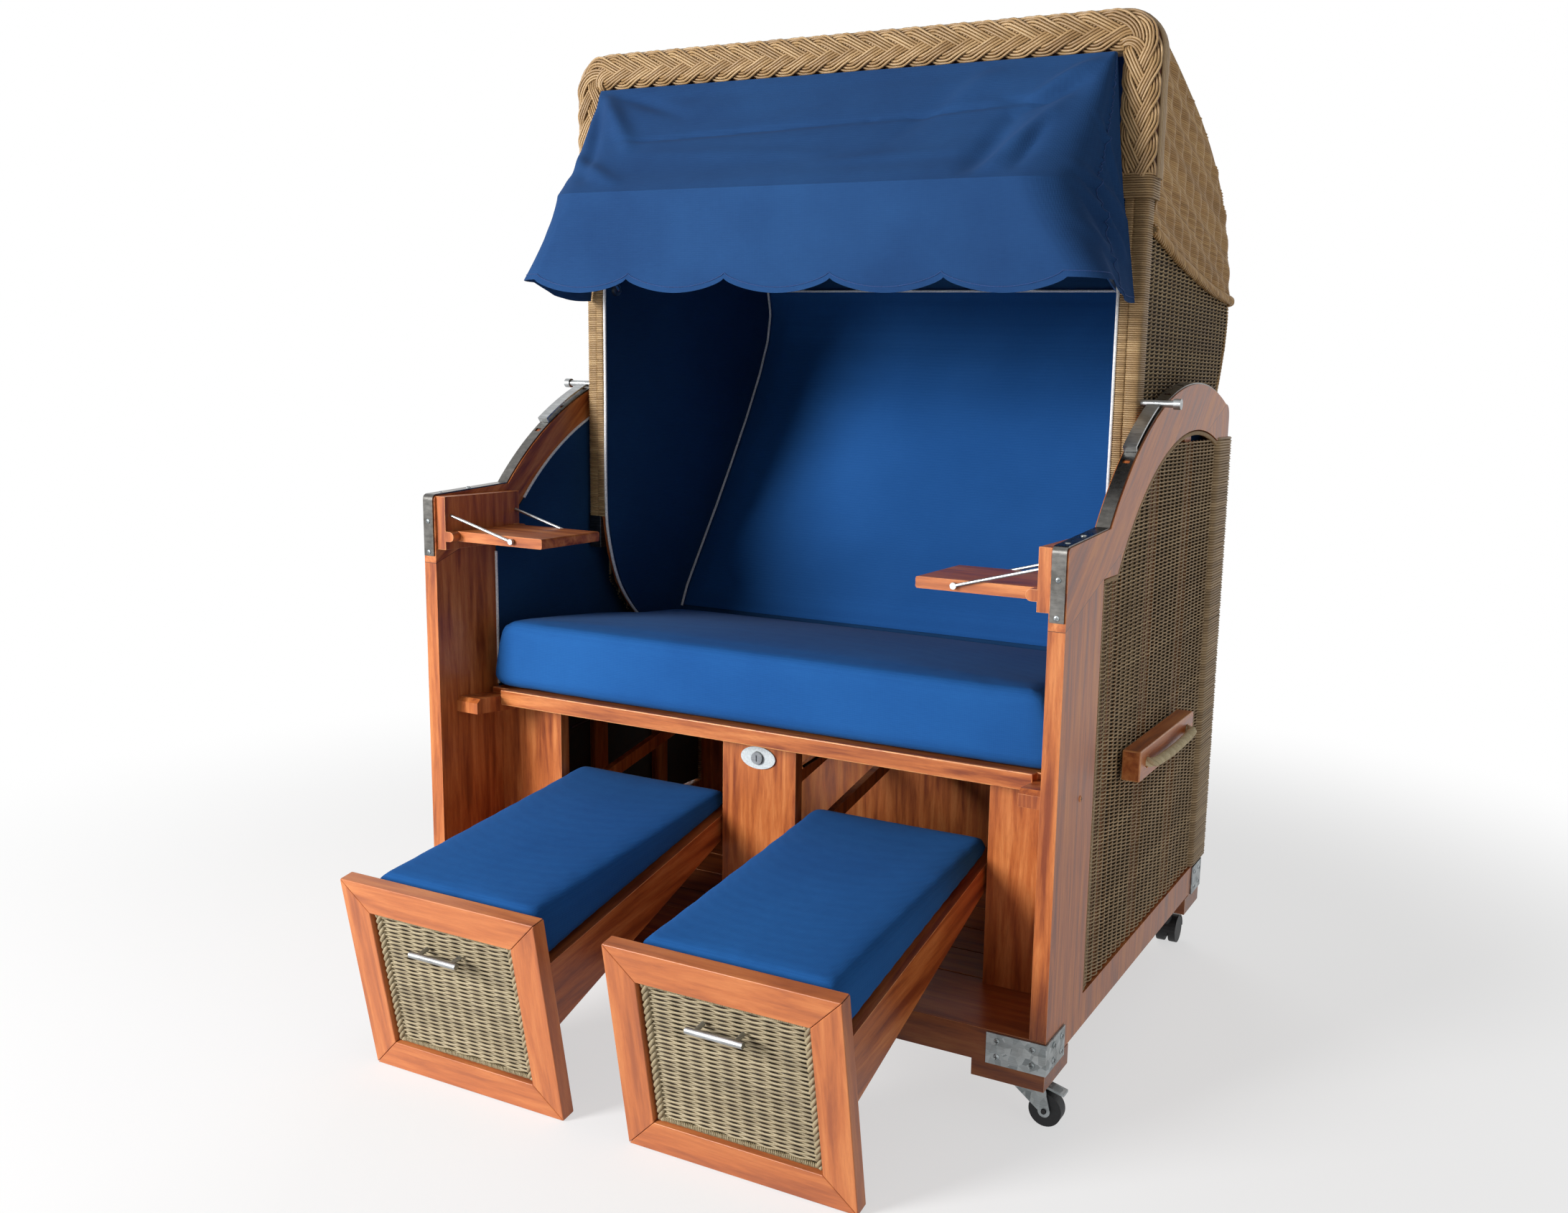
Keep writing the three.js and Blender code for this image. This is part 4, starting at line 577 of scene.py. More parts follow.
def setInputs(piece, tree, values):
    change = piece.modifiers.new(tree.name, "NODES")
    change.node_group = tree
    sockets = {s.name: s.identifier for s in tree.interface.items_tree if s.in_out == "INPUT"}
    for name, value in values.items():
        change[sockets[name]] = value
    return baked(piece)


def writeValues(mesh, name, kind, values):
    attribute = mesh.attributes.new(name, kind, "POINT")
    if kind == "FLOAT":
        attribute.data.foreach_set("value", values)
    else:
        attribute.data.foreach_set("vector", [c for v in values for c in v])


# rows: lists of (place, out, up, run); a closed row joins its ends
def strandPiece(name, rows, closed=False, seed=1, swell=0.0, **values):
    places, edges, outs, ups, runs, shades = [], [], [], [], [], []
    pitch = values.get("Rib_Pitch", 1.0)
    pick = random.Random(seed)
    for row in rows:
        if len(row) < 2:
            continue
        first, shade = len(places), pick.random()
        for place, out, up, run in row:
            places.append(place)
            outs.append(out)
            ups.append(up)
            runs.append(run)
            shades.append(shade)
        last = len(places) - 1
        edges += [(i, i + 1) for i in range(first, last)]
        if closed:
            edges.append((last, first))
    piece = meshPiece(name, places, [], edges=edges)
    writeValues(piece.data, "run", "FLOAT", runs)
    writeValues(piece.data, "shade", "FLOAT", shades)
    writeValues(piece.data, "girth", "FLOAT", [1 + swell * math.cos(tau * run / pitch) for run in runs])
    writeValues(piece.data, "out", "FLOAT_VECTOR", outs)
    writeValues(piece.data, "up", "FLOAT_VECTOR", ups)
    filled = {"Rib Pitch": 1.0, "Bulge": 0.0, "Lean": 0.0, "Strand Radius": 0.002, "Sides": 5}
    filled.update({key.replace("_", " "): value for key, value in values.items()})
    return setInputs(piece, weaveTree, filled)


def tubePiece(name, paths, radius, look, sides=8, closed=False, seed=1):
    rows = [[(p, (0, 0, 1), (0, 0, 1), 0.0) for p in path] for path in paths]
    return strandPiece(name, rows, closed, seed, Strand_Radius=radius, Sides=sides, Look=look)


def coilPiece(name, paths, look, coil):
    places, edges, phases, shades = [], [], [], []
    strands, strand, pitch = coil["strands"], coil["strand"], coil["pitch"]
    pick = random.Random(3)
    for path in paths:
        for k in range(strands):
            first, shade = len(places), pick.random()
            places += [tuple(p) for p in path]
            phases += [tau * k / strands] * len(path)
            shades += [shade] * len(path)
            edges += [(i, i + 1) for i in range(first, len(places) - 1)]
    piece = meshPiece(name, places, [], edges=edges)
    writeValues(piece.data, "phase", "FLOAT", phases)
    writeValues(piece.data, "shade", "FLOAT", shades)
    return setInputs(piece, coilTree, {
        "Pitch": pitch, "Coil Radius": coil["radius"] - strand, "Step": pitch / coil["turnSteps"],
        "Strand Radius": strand, "Sides": coil["sides"], "Look": look})


def screws(name, spots, radius, look=zinc):
    piece = meshPiece(name, [spot for spot, out in spots], [])
    writeValues(piece.data, "out", "FLOAT_VECTOR", [out for spot, out in spots])
    made = setInputs(piece, screwTree, {"Head Radius": radius, "Look": look, "Slot Look": black})
    return smoothFaces(made, 50)


# A CAD node's own shape with softened edges
def softened(node, kind, slot, looks, width, angle=30):
    name = f"{node}_{kind}"
    mesh = frame["nodes"][node].data.copy()
    mesh.name = name
    setLooks(mesh, *looks)
    shape = bmesh.new()
    shape.from_mesh(mesh)
    bmesh.ops.remove_doubles(shape, verts=shape.verts, dist=1e-5)
    bmesh.ops.dissolve_limit(shape, angle_limit=math.radians(1.5), verts=shape.verts, edges=shape.edges)
    for face in shape.faces:
        face.material_index = 0
    shape.to_mesh(mesh)
    shape.free()
    if mesh.attributes.get("custom_normal"):
        mesh.attributes.remove(mesh.attributes["custom_normal"])
    piece = smoothFaces(newObject(name, mesh))
    # for wood the bevel faces take the last look, the lighter edge wood painted as a highlight
    bevelled(piece, width, angle, len(looks) - 1 if len(looks) > 1 else -1)
    return given(piece, bodyOf[node], slot, [node])


# Wood
sideWood = {"side_frame": (woodArm, 0.0022), "tray": (woodX, 0.0012), "tray_block": (woodZ, 0.0015),
            "carry_bar": (woodY, 0.0025), "hood_board": (woodZ, 0.002), "footrest_box": (woodBoxPaintedShade, 0.0012)}
middleWood = {"seat_frame": (woodX, 0.002), "front_panel": (woodZ, 0.0012),
              "floor_frame": (woodPaintedShade, 0.0018)}
for side, sign in sides:
    for node, (look, edge) in sideWood.items():
        softened(f"{side}_{node}", "wood", "wood", [look, woodEdgeHighlight], edge)
for node, (look, edge) in middleWood.items():
    softened(node, "wood", "wood", [look, woodEdgeHighlight], edge)
print("wood done")


# Footrests: mitred frames, woven insets with rolled borders
footrest = {"x": 0.257, "y": 0.203, "z": 0.3455, "front": -0.55, "back": -0.525, "half": 0.195,
            "top": 0.093, "bottom": -0.251, "rim": 0.052, "groove": 0.0003, "edge": 0.0017}
insetWeave = {"face": -0.5385, "side": 0.001, "end": 0.003, "rowPitch": 0.0037, "ribPitch": 0.052,
              "steps": 64, "strand": 0.0017, "behind": 0.0045, "behindSteps": 40, "ropeIn": 0.0080,
              "ropeProud": 0.0005, "rollIn": 0.004, "rollFromEnd": 0.002, "rollProud": 0.0015}
insetRope = {"radius": 0.0070, "strand": 0.0033, "pitch": 0.034, "strands": 3, "sides": 6, "turnSteps": 16}
insetRoll = {"radius": 0.0042, "strand": 0.0014, "pitch": 0.0062, "strands": 2, "sides": 4, "turnSteps": 9}


def inFootrest(sign, x, y, z):
    c, s = math.cos(footrestTilt), math.sin(footrestTilt)
    return Vector((sign * footrest["x"] + x, footrest["y"] + y * c - z * s,
                   footrest["z"] + y * s + z * c))


def mitredFrame(side, sign):
    f = footrest
    half, rim = f["half"], f["rim"]
    outer = [(-half, f["bottom"]), (half, f["bottom"]), (half, f["top"]), (-half, f["top"])]
    inner = [(-half + rim, f["bottom"] + rim), (half - rim, f["bottom"] + rim),
             (half - rim, f["top"] - rim), (-half + rim, f["top"] - rim)]
    ring = [(0, 1, 2, 3), (7, 6, 5, 4), (1, 0, 4, 5), (2, 1, 5, 6), (3, 2, 6, 7), (0, 3, 7, 4)]
    places, faces, kinds = [], [], []
    for k in range(4):
        a, b, c, d = outer[k], outer[(k + 1) % 4], inner[(k + 1) % 4], inner[k]
        along = Vector((b[0] - a[0], b[1] - a[1])).normalized() * f["groove"]
        base = len(places)
        places += [inFootrest(sign, x + way * along.x, y, z + way * along.y) for y in (f["front"], f["back"])
                   for (x, z), way in ((a, 1), (b, -1), (c, -1), (d, 1))]
        faces += [tuple(base + i for i in face) for face in ring]
        kinds += [k % 2] * 6
    piece = meshPiece(f"{side}_footrest_mitred", places, faces, [woodFrameX, woodFrameZ])
    given(bevelled(smoothFaces(painted(piece, kinds)), f["edge"]), f"{side}_footrest", "wood",
          [f"{side}_footrest_frame"])


def footrestWeave(side, sign):
    f, w, body = footrest, insetWeave, f"{side}_footrest"
    half = f["half"] - f["rim"] - w["side"]
    low, high = f["bottom"] + f["rim"] + w["end"], f["top"] - f["rim"] - w["end"]
    count = int((high - low) / w["rowPitch"])
    normal, upward = (inFootrest(0, *at) - inFootrest(0, 0, 0, 0) for at in ((0, -1, 0), (0, 0, 1)))
    rows = [[(inFootrest(sign, x, w["face"], z), normal, upward, x + i % 2 * w["ribPitch"] / 2)
             for x in spread(-half, half, w["steps"])] for i, z in enumerate(spread(low, high, count))]
    weave = strandPiece(f"{side}_footrest_weave", rows, seed=5, swell=0.1, Rib_Pitch=w["ribPitch"],
                        Bulge=0.0013, Lean=0.0011, Strand_Radius=w["strand"], Look=panelCane)
    given(weave, body, "wicker", [f"{side}_footrest_wicker"])
    # dark strands behind the inset, painted shade for its gaps
    levels = [low + (high - low) * (2 * i + 0.5) / (count + 1) for i in range(count // 2 + 1)]
    rows = [[(inFootrest(sign, x, w["face"] + w["behind"], z), normal, upward, x)
             for x in spread(-half, half, w["behindSteps"])] for z in levels]
    behind = strandPiece(f"{side}_footrest_weave_back", rows, seed=6, Rib_Pitch=w["ribPitch"],
                         Strand_Radius=w["behind"], Look=paintedShadeBacking, Sides=4)
    given(behind, body, "wicker")

    def edges(ends, proud):
        return [evenPath([inFootrest(sign, x, w["face"] - proud, z) for x, z in pair], 0.01)
                for pair in ends]

    ropes = edges([[(x, low), (x, high)] for x in (-half + w["ropeIn"], half - w["ropeIn"])],
                  w["ropeProud"])
    given(coilPiece(f"{side}_footrest_border", ropes, panelCane, insetRope), body, "wicker")
    rolls = edges([[(-half + w["rollIn"], z), (half - w["rollIn"], z)]
                   for z in (low + w["rollFromEnd"], high - w["rollFromEnd"])], w["rollProud"])
    given(coilPiece(f"{side}_footrest_roll", rolls, panelCane, insetRoll), body, "wicker")


for side, sign in sides:
    mitredFrame(side, sign)
    footrestWeave(side, sign)
print("footrests done")


# Side panels of the base: horizontal rows, a rolled edge, and the wound rear column
sidePanel = {"front": 0.170, "rear": 0.836, "low": 0.181, "step": 0.8465, "stepEnd": 0.236, "top": 1.044,
             "pivotY": 0.670, "pivotZ": 0.518, "radius": 0.5445, "x": 0.6035, "backingX": 0.5948,
             "rowPitch": 0.0063, "ribPitch": 0.0265, "ribIn": 0.0045, "rib": 0.0028, "strand": 0.0015,
             "battens": (0.255, 0.456, 0.670), "battenHalf": 0.022, "battenBulge": 0.0016,
             "battenWide": 0.03, "edgeIn": 0.002, "edgeProud": 0.003, "edgeRear": 0.832}
sideRoll = {"radius": 0.0042, "strand": 0.0013, "pitch": 0.0052, "strands": 2, "sides": 4, "turnSteps": 9}
column = {"x0": 0.580, "x1": 0.612, "y0": 0.833, "y1": 0.940, "round": 0.012,
          "low": 0.180, "top": 1.045, "pitch": 0.0052, "strand": 0.0027}
sideOf = ("base", "dark_wicker")


def panelEnds(z):
    p = sidePanel
    if z <= p["step"]:
        return p["front"], p["rear"]
    reach = math.sqrt(max(p["radius"] ** 2 - (z - p["pivotZ"]) ** 2, 0))
    return p["pivotY"] - reach, min(p["rear"], p["pivotY"] + reach)


def panelTop(y):
    p = sidePanel
    arc = p["pivotZ"] + math.sqrt(p["radius"] ** 2 - (y - p["pivotY"]) ** 2)
    return p["step"] if y < p["stepEnd"] else min(arc, p["top"])


def pivotArc(radius, start, step, count):
    return [(sidePanel["pivotY"] + radius * math.cos(angle), sidePanel["pivotZ"] + radius * math.sin(angle))
            for angle in (math.radians(start - step * k) for k in range(count))]


def upright(x, y, low, high):
    return evenPath([(x, y, low), (x, y, high)], 0.05)


def sideWeave(side, sign):
    p = sidePanel
    rows = []
    for z in spread(p["low"], p["top"], int((p["top"] - p["low"]) / p["rowPitch"])):
        y0, y1 = panelEnds(z)
        row = []
        for y in spread(y0, y1, max(int((y1 - y0) / (p["ribPitch"] / 5)), 1)):
            # the rows stand out where they pass over the battens
            swell = sum(p["battenBulge"] * math.exp(-((y - mid) / p["battenWide"]) ** 2)
                        for mid in p["battens"])
            drift = 0.0022 * noise.noise((y * 6, z * 3, sign * 4.0))
            row.append(((sign * (p["x"] + swell), y, z + drift), (sign, 0, 0), (0, 0, 1),
                        y + 0.006 * noise.noise((y * 2, z * 4, 9.0))))
        rows.append(row)
    weave = strandPiece(f"{side}_side_weave", rows, seed=11, swell=0.2, Rib_Pitch=p["ribPitch"],
                        Bulge=0.0024, Lean=0.0012, Strand_Radius=p["strand"], Look=sideCane)
    given(weave, *sideOf, [f"{side}_side_wicker"])
    ribs, y = [], p["front"] + p["ribPitch"] / 2
    while y < p["rear"]:
        ribs.append(upright(sign * (p["x"] - p["ribIn"]), y, p["low"], panelTop(y)))
        y += p["ribPitch"]
    given(tubePiece(f"{side}_side_ribs", ribs, p["rib"], shadedCane, 6), *sideOf)
    e = p["edgeIn"]
    edge = [(p["front"] + e, p["low"]), (p["front"] + e, p["step"] - e), (0.2355, p["step"] - e / 2)]
    edge += pivotArc(p["radius"] - e, 142.5, 3.0, 25)
    path = evenPath([(sign * (p["x"] + p["edgeProud"]), y, z) for y, z in edge if y < p["edgeRear"]], 0.006)
    given(coilPiece(f"{side}_side_border", [path], woundCane, sideRoll), *sideOf)


# A dark sheet behind the side weave, painted shade seen through the gaps, wooden where the battens show
# through
def sideBacking(side, sign):
    p = sidePanel
    marks = [mid + way * p["battenHalf"] for mid in p["battens"] for way in (-1, 1)]
    marks = [p["front"], *marks, p["rear"]]
    levels = [y for a, b in zip(marks, marks[1:]) for y in spread(a, b, 6)[:-1]] + [p["rear"]]
    places = [(sign * p["backingX"], y, z) for y in levels for z in (p["low"], panelTop(y))]
    faces = [(2 * i, 2 * i + 2, 2 * i + 3, 2 * i + 1) for i in range(len(levels) - 1)]
    kinds = [int(any(abs((a + b) / 2 - mid) < p["battenHalf"] for mid in p["battens"]))
             for a, b in zip(levels, levels[1:])]
    sheet = meshPiece(f"{side}_side_backing", places, faces, [paintedShadeBacking, woodEdgeHighlight])
    given(thickened(painted(sheet, kinds), 0.001), *sideOf)


def roundedLoop(x0, x1, y0, y1, radius, steps=3):
    loop = []
    for cx, cy, start in ((x1 - radius, y1 - radius, 0), (x0 + radius, y1 - radius, 1),
                          (x0 + radius, y0 + radius, 2), (x1 - radius, y0 + radius, 3)):
        for k in range(steps + 1):
            angle = (start + k / steps) * math.pi / 2
            loop.append((cx + radius * math.cos(angle), cy + radius * math.sin(angle)))
    return loop


def woundBlock(name, shape, look, owner, sign, seed, wobble=0.0007, replaced=()):
    loop = roundedLoop(shape["x0"], shape["x1"], shape["y0"], shape["y1"], shape["round"])
    low, top = shape["low"], shape["top"]
    rows = []
    pick = random.Random(seed)
    for z in spread(low, top, int((top - low) / shape["pitch"])):
        off, tip = pick.uniform(-wobble, wobble) * 0.4, pick.uniform(-wobble, wobble)
        rows.append([((sign * (x + off), y + off, z + tip * (y - shape["y0"]) / 0.1),
                      (0, 0, 1), (0, 0, 1), 0.0) for x, y in loop])
    piece = strandPiece(name, rows, True, seed, Strand_Radius=shape["strand"], Sides=4, Look=look)
    return given(piece, *owner, replaced)


def core(name, shape, look, owner, sign, inset=0.0):
    loop = roundedLoop(shape["x0"] + inset, shape["x1"] - inset, shape["y0"] + inset,
                       shape["y1"] - inset, max(shape["round"] - inset, 0.002))
    n = len(loop)
    places = [(sign * x, y, z) for z in (shape["low"], shape["top"]) for x, y in loop]
    faces = [(i, (i + 1) % n, n + (i + 1) % n, n + i) for i in range(n)]
    faces += [tuple(reversed(range(n))), tuple(range(n, 2 * n))]
    if sign < 0:
        faces = [tuple(reversed(face)) for face in faces]
    return given(meshPiece(name, places, faces, [look]), *owner)


for side, sign in sides:
    sideWeave(side, sign)
    sideBacking(side, sign)
    woundBlock(f"{side}_column_wound", column, sideCane, sideOf, sign, 21)
    core(f"{side}_column_core", column, shadedCane, sideOf, sign, 0.002)
print("side panels done")


# Low woven wall at the back of the base
backWall = {"half": 0.577, "y": 0.920, "low": 0.182, "top": 0.496, "rowPitch": 0.0075,
            "ribPitch": 0.030, "strand": 0.0027}
backCore = {"x0": -0.576, "x1": 0.576, "y0": 0.8975, "y1": 0.9165, "round": 0.003,
            "low": 0.168, "top": 0.498}
backRoll = {"radius": 0.0075, "strand": 0.0017, "pitch": 0.0068, "strands": 2, "sides": 4, "turnSteps": 9}


def backWeave():
    w = backWall
    half = w["half"]
    steps = int(2 * half / (w["ribPitch"] / 5))
    rows = [[((x, w["y"], z), (0, 1, 0), (0, 0, 1), run)
             for x, run in zip(spread(-half, half, steps), spread(0, 2 * half, steps))]
            for z in spread(w["low"], w["top"], int((w["top"] - w["low"]) / w["rowPitch"]))]
    given(strandPiece("back_wall_weave", rows, seed=31, Rib_Pitch=w["ribPitch"], Bulge=0.0026, Lean=0.001,
                      Strand_Radius=w["strand"], Look=sideCane), *sideOf, ["back_wicker"])
    # the wall's core is painted shade that shows through the gaps
    core("back_wall_core", backCore, paintedShadeBacking, sideOf, 1)
    edge = evenPath([(-half + 0.004, w["y"], w["top"]), (half - 0.004, w["y"], w["top"])], 0.02)
    given(coilPiece("back_wall_border", [edge], sideCane, backRoll), *sideOf)


backWeave()


# Hood: its side view is the same line as in the part's source, over the roof to the point numbered
# widest, then down the back
hood = {"front": 0.410, "depth": 0.646, "low": 0.560, "height": 1.172, "half": 0.574, "round": 0.044,
        "behind": 0.4525, "curveEnd": (0.5587, 0.6005),
        "line": [(0.03, 1.0), (0.16, 0.985), (0.34, 0.955), (0.54, 0.915), (0.7, 0.87), (0.82, 0.82),
                 (0.91, 0.76), (0.97, 0.69), (1.0, 0.62), (0.98, 0.555), (0.925, 0.485), (0.84, 0.4),
                 (0.74, 0.31), (0.645, 0.228), (0.555, 0.155), (0.47, 0.085), (0.4, 0.0)],
        "widest": 8,
        "curve": [(0.0, 1.0), (0.06, 0.77), (0.16, 0.575), (0.33, 0.405), (0.56, 0.25)],
        "boardFront": 0.417, "postBottom": 0.848, "pivot": (0.670, 0.518)}
hoodPoints = [(hood["front"] + a * hood["depth"], hood["low"] + b * hood["height"])
              for a, b in hood["line"]]
lowerCurve = [(hood["boardFront"] + a * (hood["pivot"][0] - hood["boardFront"]),
               hood["pivot"][1] + b * (hood["postBottom"] - hood["pivot"][1])) for a, b in hood["curve"]]
border = [(0.4525, 1.397), (0.520, 1.384), (0.619, 1.363), (0.730, 1.346), (0.835, 1.331), (0.930, 1.322),
          (1.010, 1.317)]
openWeave = {"x": 0.5665, "rowPitch": 0.0066, "ribPitch": 0.028, "strand": 0.0017, "step": 0.0062,
             "end": 0.036, "top": 1.40, "below": 0.004, "rib": 0.0026, "ribIn": 0.0035, "ribEnd": 0.040,
             "firstRib": 0.466, "lastRib": 1.04, "lean": 0.013}
denseWeave = {"x": 0.5700, "rowPitch": 0.0034, "rows": 126, "spots": 110, "from": 1.290, "to": 1.70,
              "slope": -0.17, "lump": 0.046, "ribPitch": 0.056, "strand": 0.0021}
overWeave = {"inset": 0.0055, "rowPitch": 0.0074, "ribPitch": 0.034, "strand": 0.0027, "steps": 170}
ground = {"inset": 0.0105, "step": 0.03, "steps": 8, "low": 0.6035, "top": 1.688, "end": 0.040,
          "thick": 0.002}
borderCoil = {"radius": 0.0095, "strand": 0.0027, "pitch": 0.0850, "strands": 8, "sides": 5,
              "turnSteps": 24, "core": 0.0070}
hoodOf, hoodDark = ("hood", "wicker"), ("hood", "dark_wicker")


def lineInside(offset):
    moved = []
    for i, (y, z) in enumerate(hoodPoints):
        (y0, z0), (y1, z1) = hoodPoints[max(i - 1, 0)], hoodPoints[min(i + 1, len(hoodPoints) - 1)]
        long = math.hypot(y1 - y0, z1 - z0)
        moved.append((y + offset * (z1 - z0) / long, z - offset * (y1 - y0) / long))
    return moved


def backAt(offset):
    pairs = sorted((z, y) for y, z in lineInside(offset))
    return lambda z: between(pairs, z)


def frontAt(z):  # front edge of the hood's sides at a height
    pairs = sorted((h, y) for y, h in lowerCurve)
    return max(hood["behind"], between(pairs, z)) + openWeave["lean"] * (1 - smooth(0.845, 0.88, z))


def hoodOpenWeave(side, sign):
    w = openWeave
    end = backAt(w["end"])
    rows = []
    z = hood["curveEnd"][1] + w["below"]
    while z < w["top"]:
        y0, y1 = frontAt(z), end(z)
        rows.append([((sign * w["x"], y, z), (sign, 0, 0), (0, 0, 1), y)
                     for y in spread(y0, y1, max(int((y1 - y0) / w["step"]), 2))
                     if z < between(border, y) - w["below"]])
        z += w["rowPitch"]
    given(strandPiece(f"{side}_hood_open_weave", rows, seed=41, swell=0.15, Rib_Pitch=w["ribPitch"],
                      Bulge=0.0022, Lean=0.0024, Strand_Radius=w["strand"], Sides=4, Look=shadedCane),
          *hoodDark)


def hoodDenseWeave(side, sign):
    w, d = openWeave, denseWeave
    end = backAt(w["end"])
    rows = []
    for i in range(d["rows"]):
        row = []
        for j in range(d["spots"]):
            y = hood["behind"] + j * w["step"]
            level = d["from"] + i * d["rowPitch"] + (y - hood["behind"]) * d["slope"]
            if y < end(level) and between(border, y) + w["below"] < level < d["to"]:
                swell = sign * math.cos(math.pi * (level + 0.25 * y) / d["lump"])
                row.append(((sign * d["x"], y, level), (swell, 0, 0), (0, 0, 1), y))
        rows.append(row)
    given(strandPiece(f"{side}_hood_dense_weave", rows, seed=42, Rib_Pitch=d["ribPitch"], Bulge=0.0042,
                      Strand_Radius=d["strand"], Sides=4, Look=hoodCane), *hoodOf)


def hoodRibs(side, sign):
    w, widest = openWeave, hood["widest"]
    over = sorted(lineInside(w["ribEnd"])[:widest + 1])
    under = list(reversed(lineInside(w["end"])[widest:]))
    ribs, y = [], w["firstRib"]
    while y < w["lastRib"]:
        high = between(over, y)
        base = max(between(lowerCurve, y - w["lean"]), between(under, y)) + 0.002
        if base < high:
            ribs.append(upright(sign * (w["x"] - w["ribIn"]), y, base, high))
        y += w["ribPitch"]
    given(tubePiece(f"{side}_hood_ribs", ribs, w["rib"], shadedCane, 6), *hoodDark)


def acrossRow(y, z, ny, nz, corner, half, steps):
    flat = half - corner
    turns = [math.pi / 2 * k / 7 for k in range(1, 8)]
    row = [(-flat - corner * math.sin(a), corner * (1 - math.cos(a)), a, -1)
           for a in (math.pi / 2 * (1 - k / 7) for k in range(7))]
    row += [(x, 0.0, 0.0, 0) for x in spread(-flat, flat, steps)]
    row += [(flat + corner * math.sin(a), corner * (1 - math.cos(a)), a, 1) for a in turns]
    result, run, before = [], 0.0, None
    for x, inward, angle, way in row:
        place = Vector((x, y - ny * inward, z - nz * inward))
        if before is not None:
            run += (place - before).length
        before = place
        out = Vector((way * math.sin(angle), ny * math.cos(angle), nz * math.cos(angle)))
        result.append((place, out, Vector((0, nz, -ny)), run))
    return result


def hoodRows(inset, pitch, steps, margin):
    path = smoothPath([(0, y, z) for y, z in lineInside(inset)], pitch)
    rows = []
    for i, place in enumerate(path):
        along = alongAt(path, i)
        if place.y >= hood["behind"] + margin and place.z >= hood["curveEnd"][1] + margin:
            rows.append(acrossRow(place.y, place.z, -along.z, along.y, hood["round"] - inset,
                                  hood["half"] - inset, steps))
    return rows


def hoodOver():
    w = overWeave
    rows = hoodRows(w["inset"], w["rowPitch"], w["steps"], 0.003)
    half = len(rows) // 2
    for name, part, seed in (("hood_roof_weave", rows[:half], 51), ("hood_back_weave", rows[half:], 52)):
        given(strandPiece(name, part, seed=seed, Rib_Pitch=w["ribPitch"], Bulge=0.0020, Lean=0.0012,
                          Strand_Radius=w["strand"], Sides=4, Look=hoodCane), *hoodOf)


# Painted shade behind the weave: dark closed sheets that follow the shell inside it
def hoodGround():
    g = ground
    rows = hoodRows(g["inset"], g["step"], g["steps"], 0)
    across = len(rows[0])
    places = [spot[0] for row in rows for spot in row]
    faces = [(i * across + j, i * across + j + 1, (i + 1) * across + j + 1, (i + 1) * across + j)
             for i in range(len(rows) - 1) for j in range(across - 1)]
    sheets = [("hood_ground", places, faces)]
    end = backAt(g["end"])
    for side, sign in sides:
        x = sign * (hood["half"] - g["inset"])
        lines = [(frontAt(z), end(z), z) for z in spread(g["low"], g["top"], 60) if end(z) > frontAt(z)]
        sheets.append((f"{side}_hood_ground", [(x, y, z) for y0, y1, z in lines for y in (y0, y1)],
                       [(2 * i, 2 * i + 1, 2 * i + 3, 2 * i + 2) for i in range(len(lines) - 1)]))
    for name, places, faces in sheets:
        piece = thickened(meshPiece(name, places, faces, [paintedShadeBacking]), g["thick"])
        given(smoothFaces(piece, 40), *hoodDark)


def hoodBorder():
    rear = backAt(0.0)(1.313) - 0.003
    right = [(0.5715, y, z) for y, z in border]
    right += [(0.566, 1.035, 1.315), (0.548, rear - 0.004, 1.314), (0.520, rear, 1.313)]
    path = smoothPath(right + [(-x, y, z) for x, y, z in reversed(right)], 0.008)
    given(coilPiece("hood_border", [path], hoodCane, borderCoil), *hoodOf)
    given(tubePiece("hood_border_core", [path], borderCoil["core"], shadedCane, 8), *hoodOf)


for side, sign in sides:
    hoodOpenWeave(side, sign)
    hoodDenseWeave(side, sign)
    hoodRibs(side, sign)
hoodOver()
hoodGround()
hoodBorder()
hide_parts("hood_shell")
print("hood weave done")


# Wound front posts of the hood: blocks of strands round a core in the shaded cane, and a steel plate below
postBlocks = [
    ("post_wound", "post_core", 61, 0.0004, ["wrapped_post"],
     {"x0": 0.546, "x1": 0.572, "y0": 0.412, "y1": 0.450, "round": 0.007, "low": 0.850, "top": 1.474}),
    ("post_flap", "flap_core", 62, 0.0004, [],
     {"x0": 0.5335, "x1": 0.5475, "y0": 0.4105, "y1": 0.4155, "round": 0.0024, "low": 0.850, "top": 1.474}),
    ("collar_wound", "collar_core", 63, 0.0006, [],
     {"x0": 0.5225, "x1": 0.5800, "y0": 0.4010, "y1": 0.4540, "round": 0.010, "low": 1.444, "top": 1.4795})]
postPlate = {"x0": 0.5445, "x1": 0.5725, "y0": 0.4125, "y1": 0.4155, "round": 0.001,
             "low": 0.784, "top": 0.852}
for side, sign in sides:
    for wound, inside, seed, wobble, replaced, shape in postBlocks:
        shape.update(pitch=0.0036, strand=0.0019)
        woundBlock(f"{side}_{wound}", shape, woundCane, hoodOf, sign, seed, wobble,
                   [f"{side}_{node}" for node in replaced])
        core(f"{side}_{inside}", shape, shadedCane, hoodOf, sign, 0.001)
    core(f"{side}_post_plate", postPlate, darkSteel, ("hood", "steel"), sign)
    core(f"{side}_post_plate_leg", dict(postPlate, x1=0.5475, y1=0.450), darkSteel, ("hood", "steel"), sign)


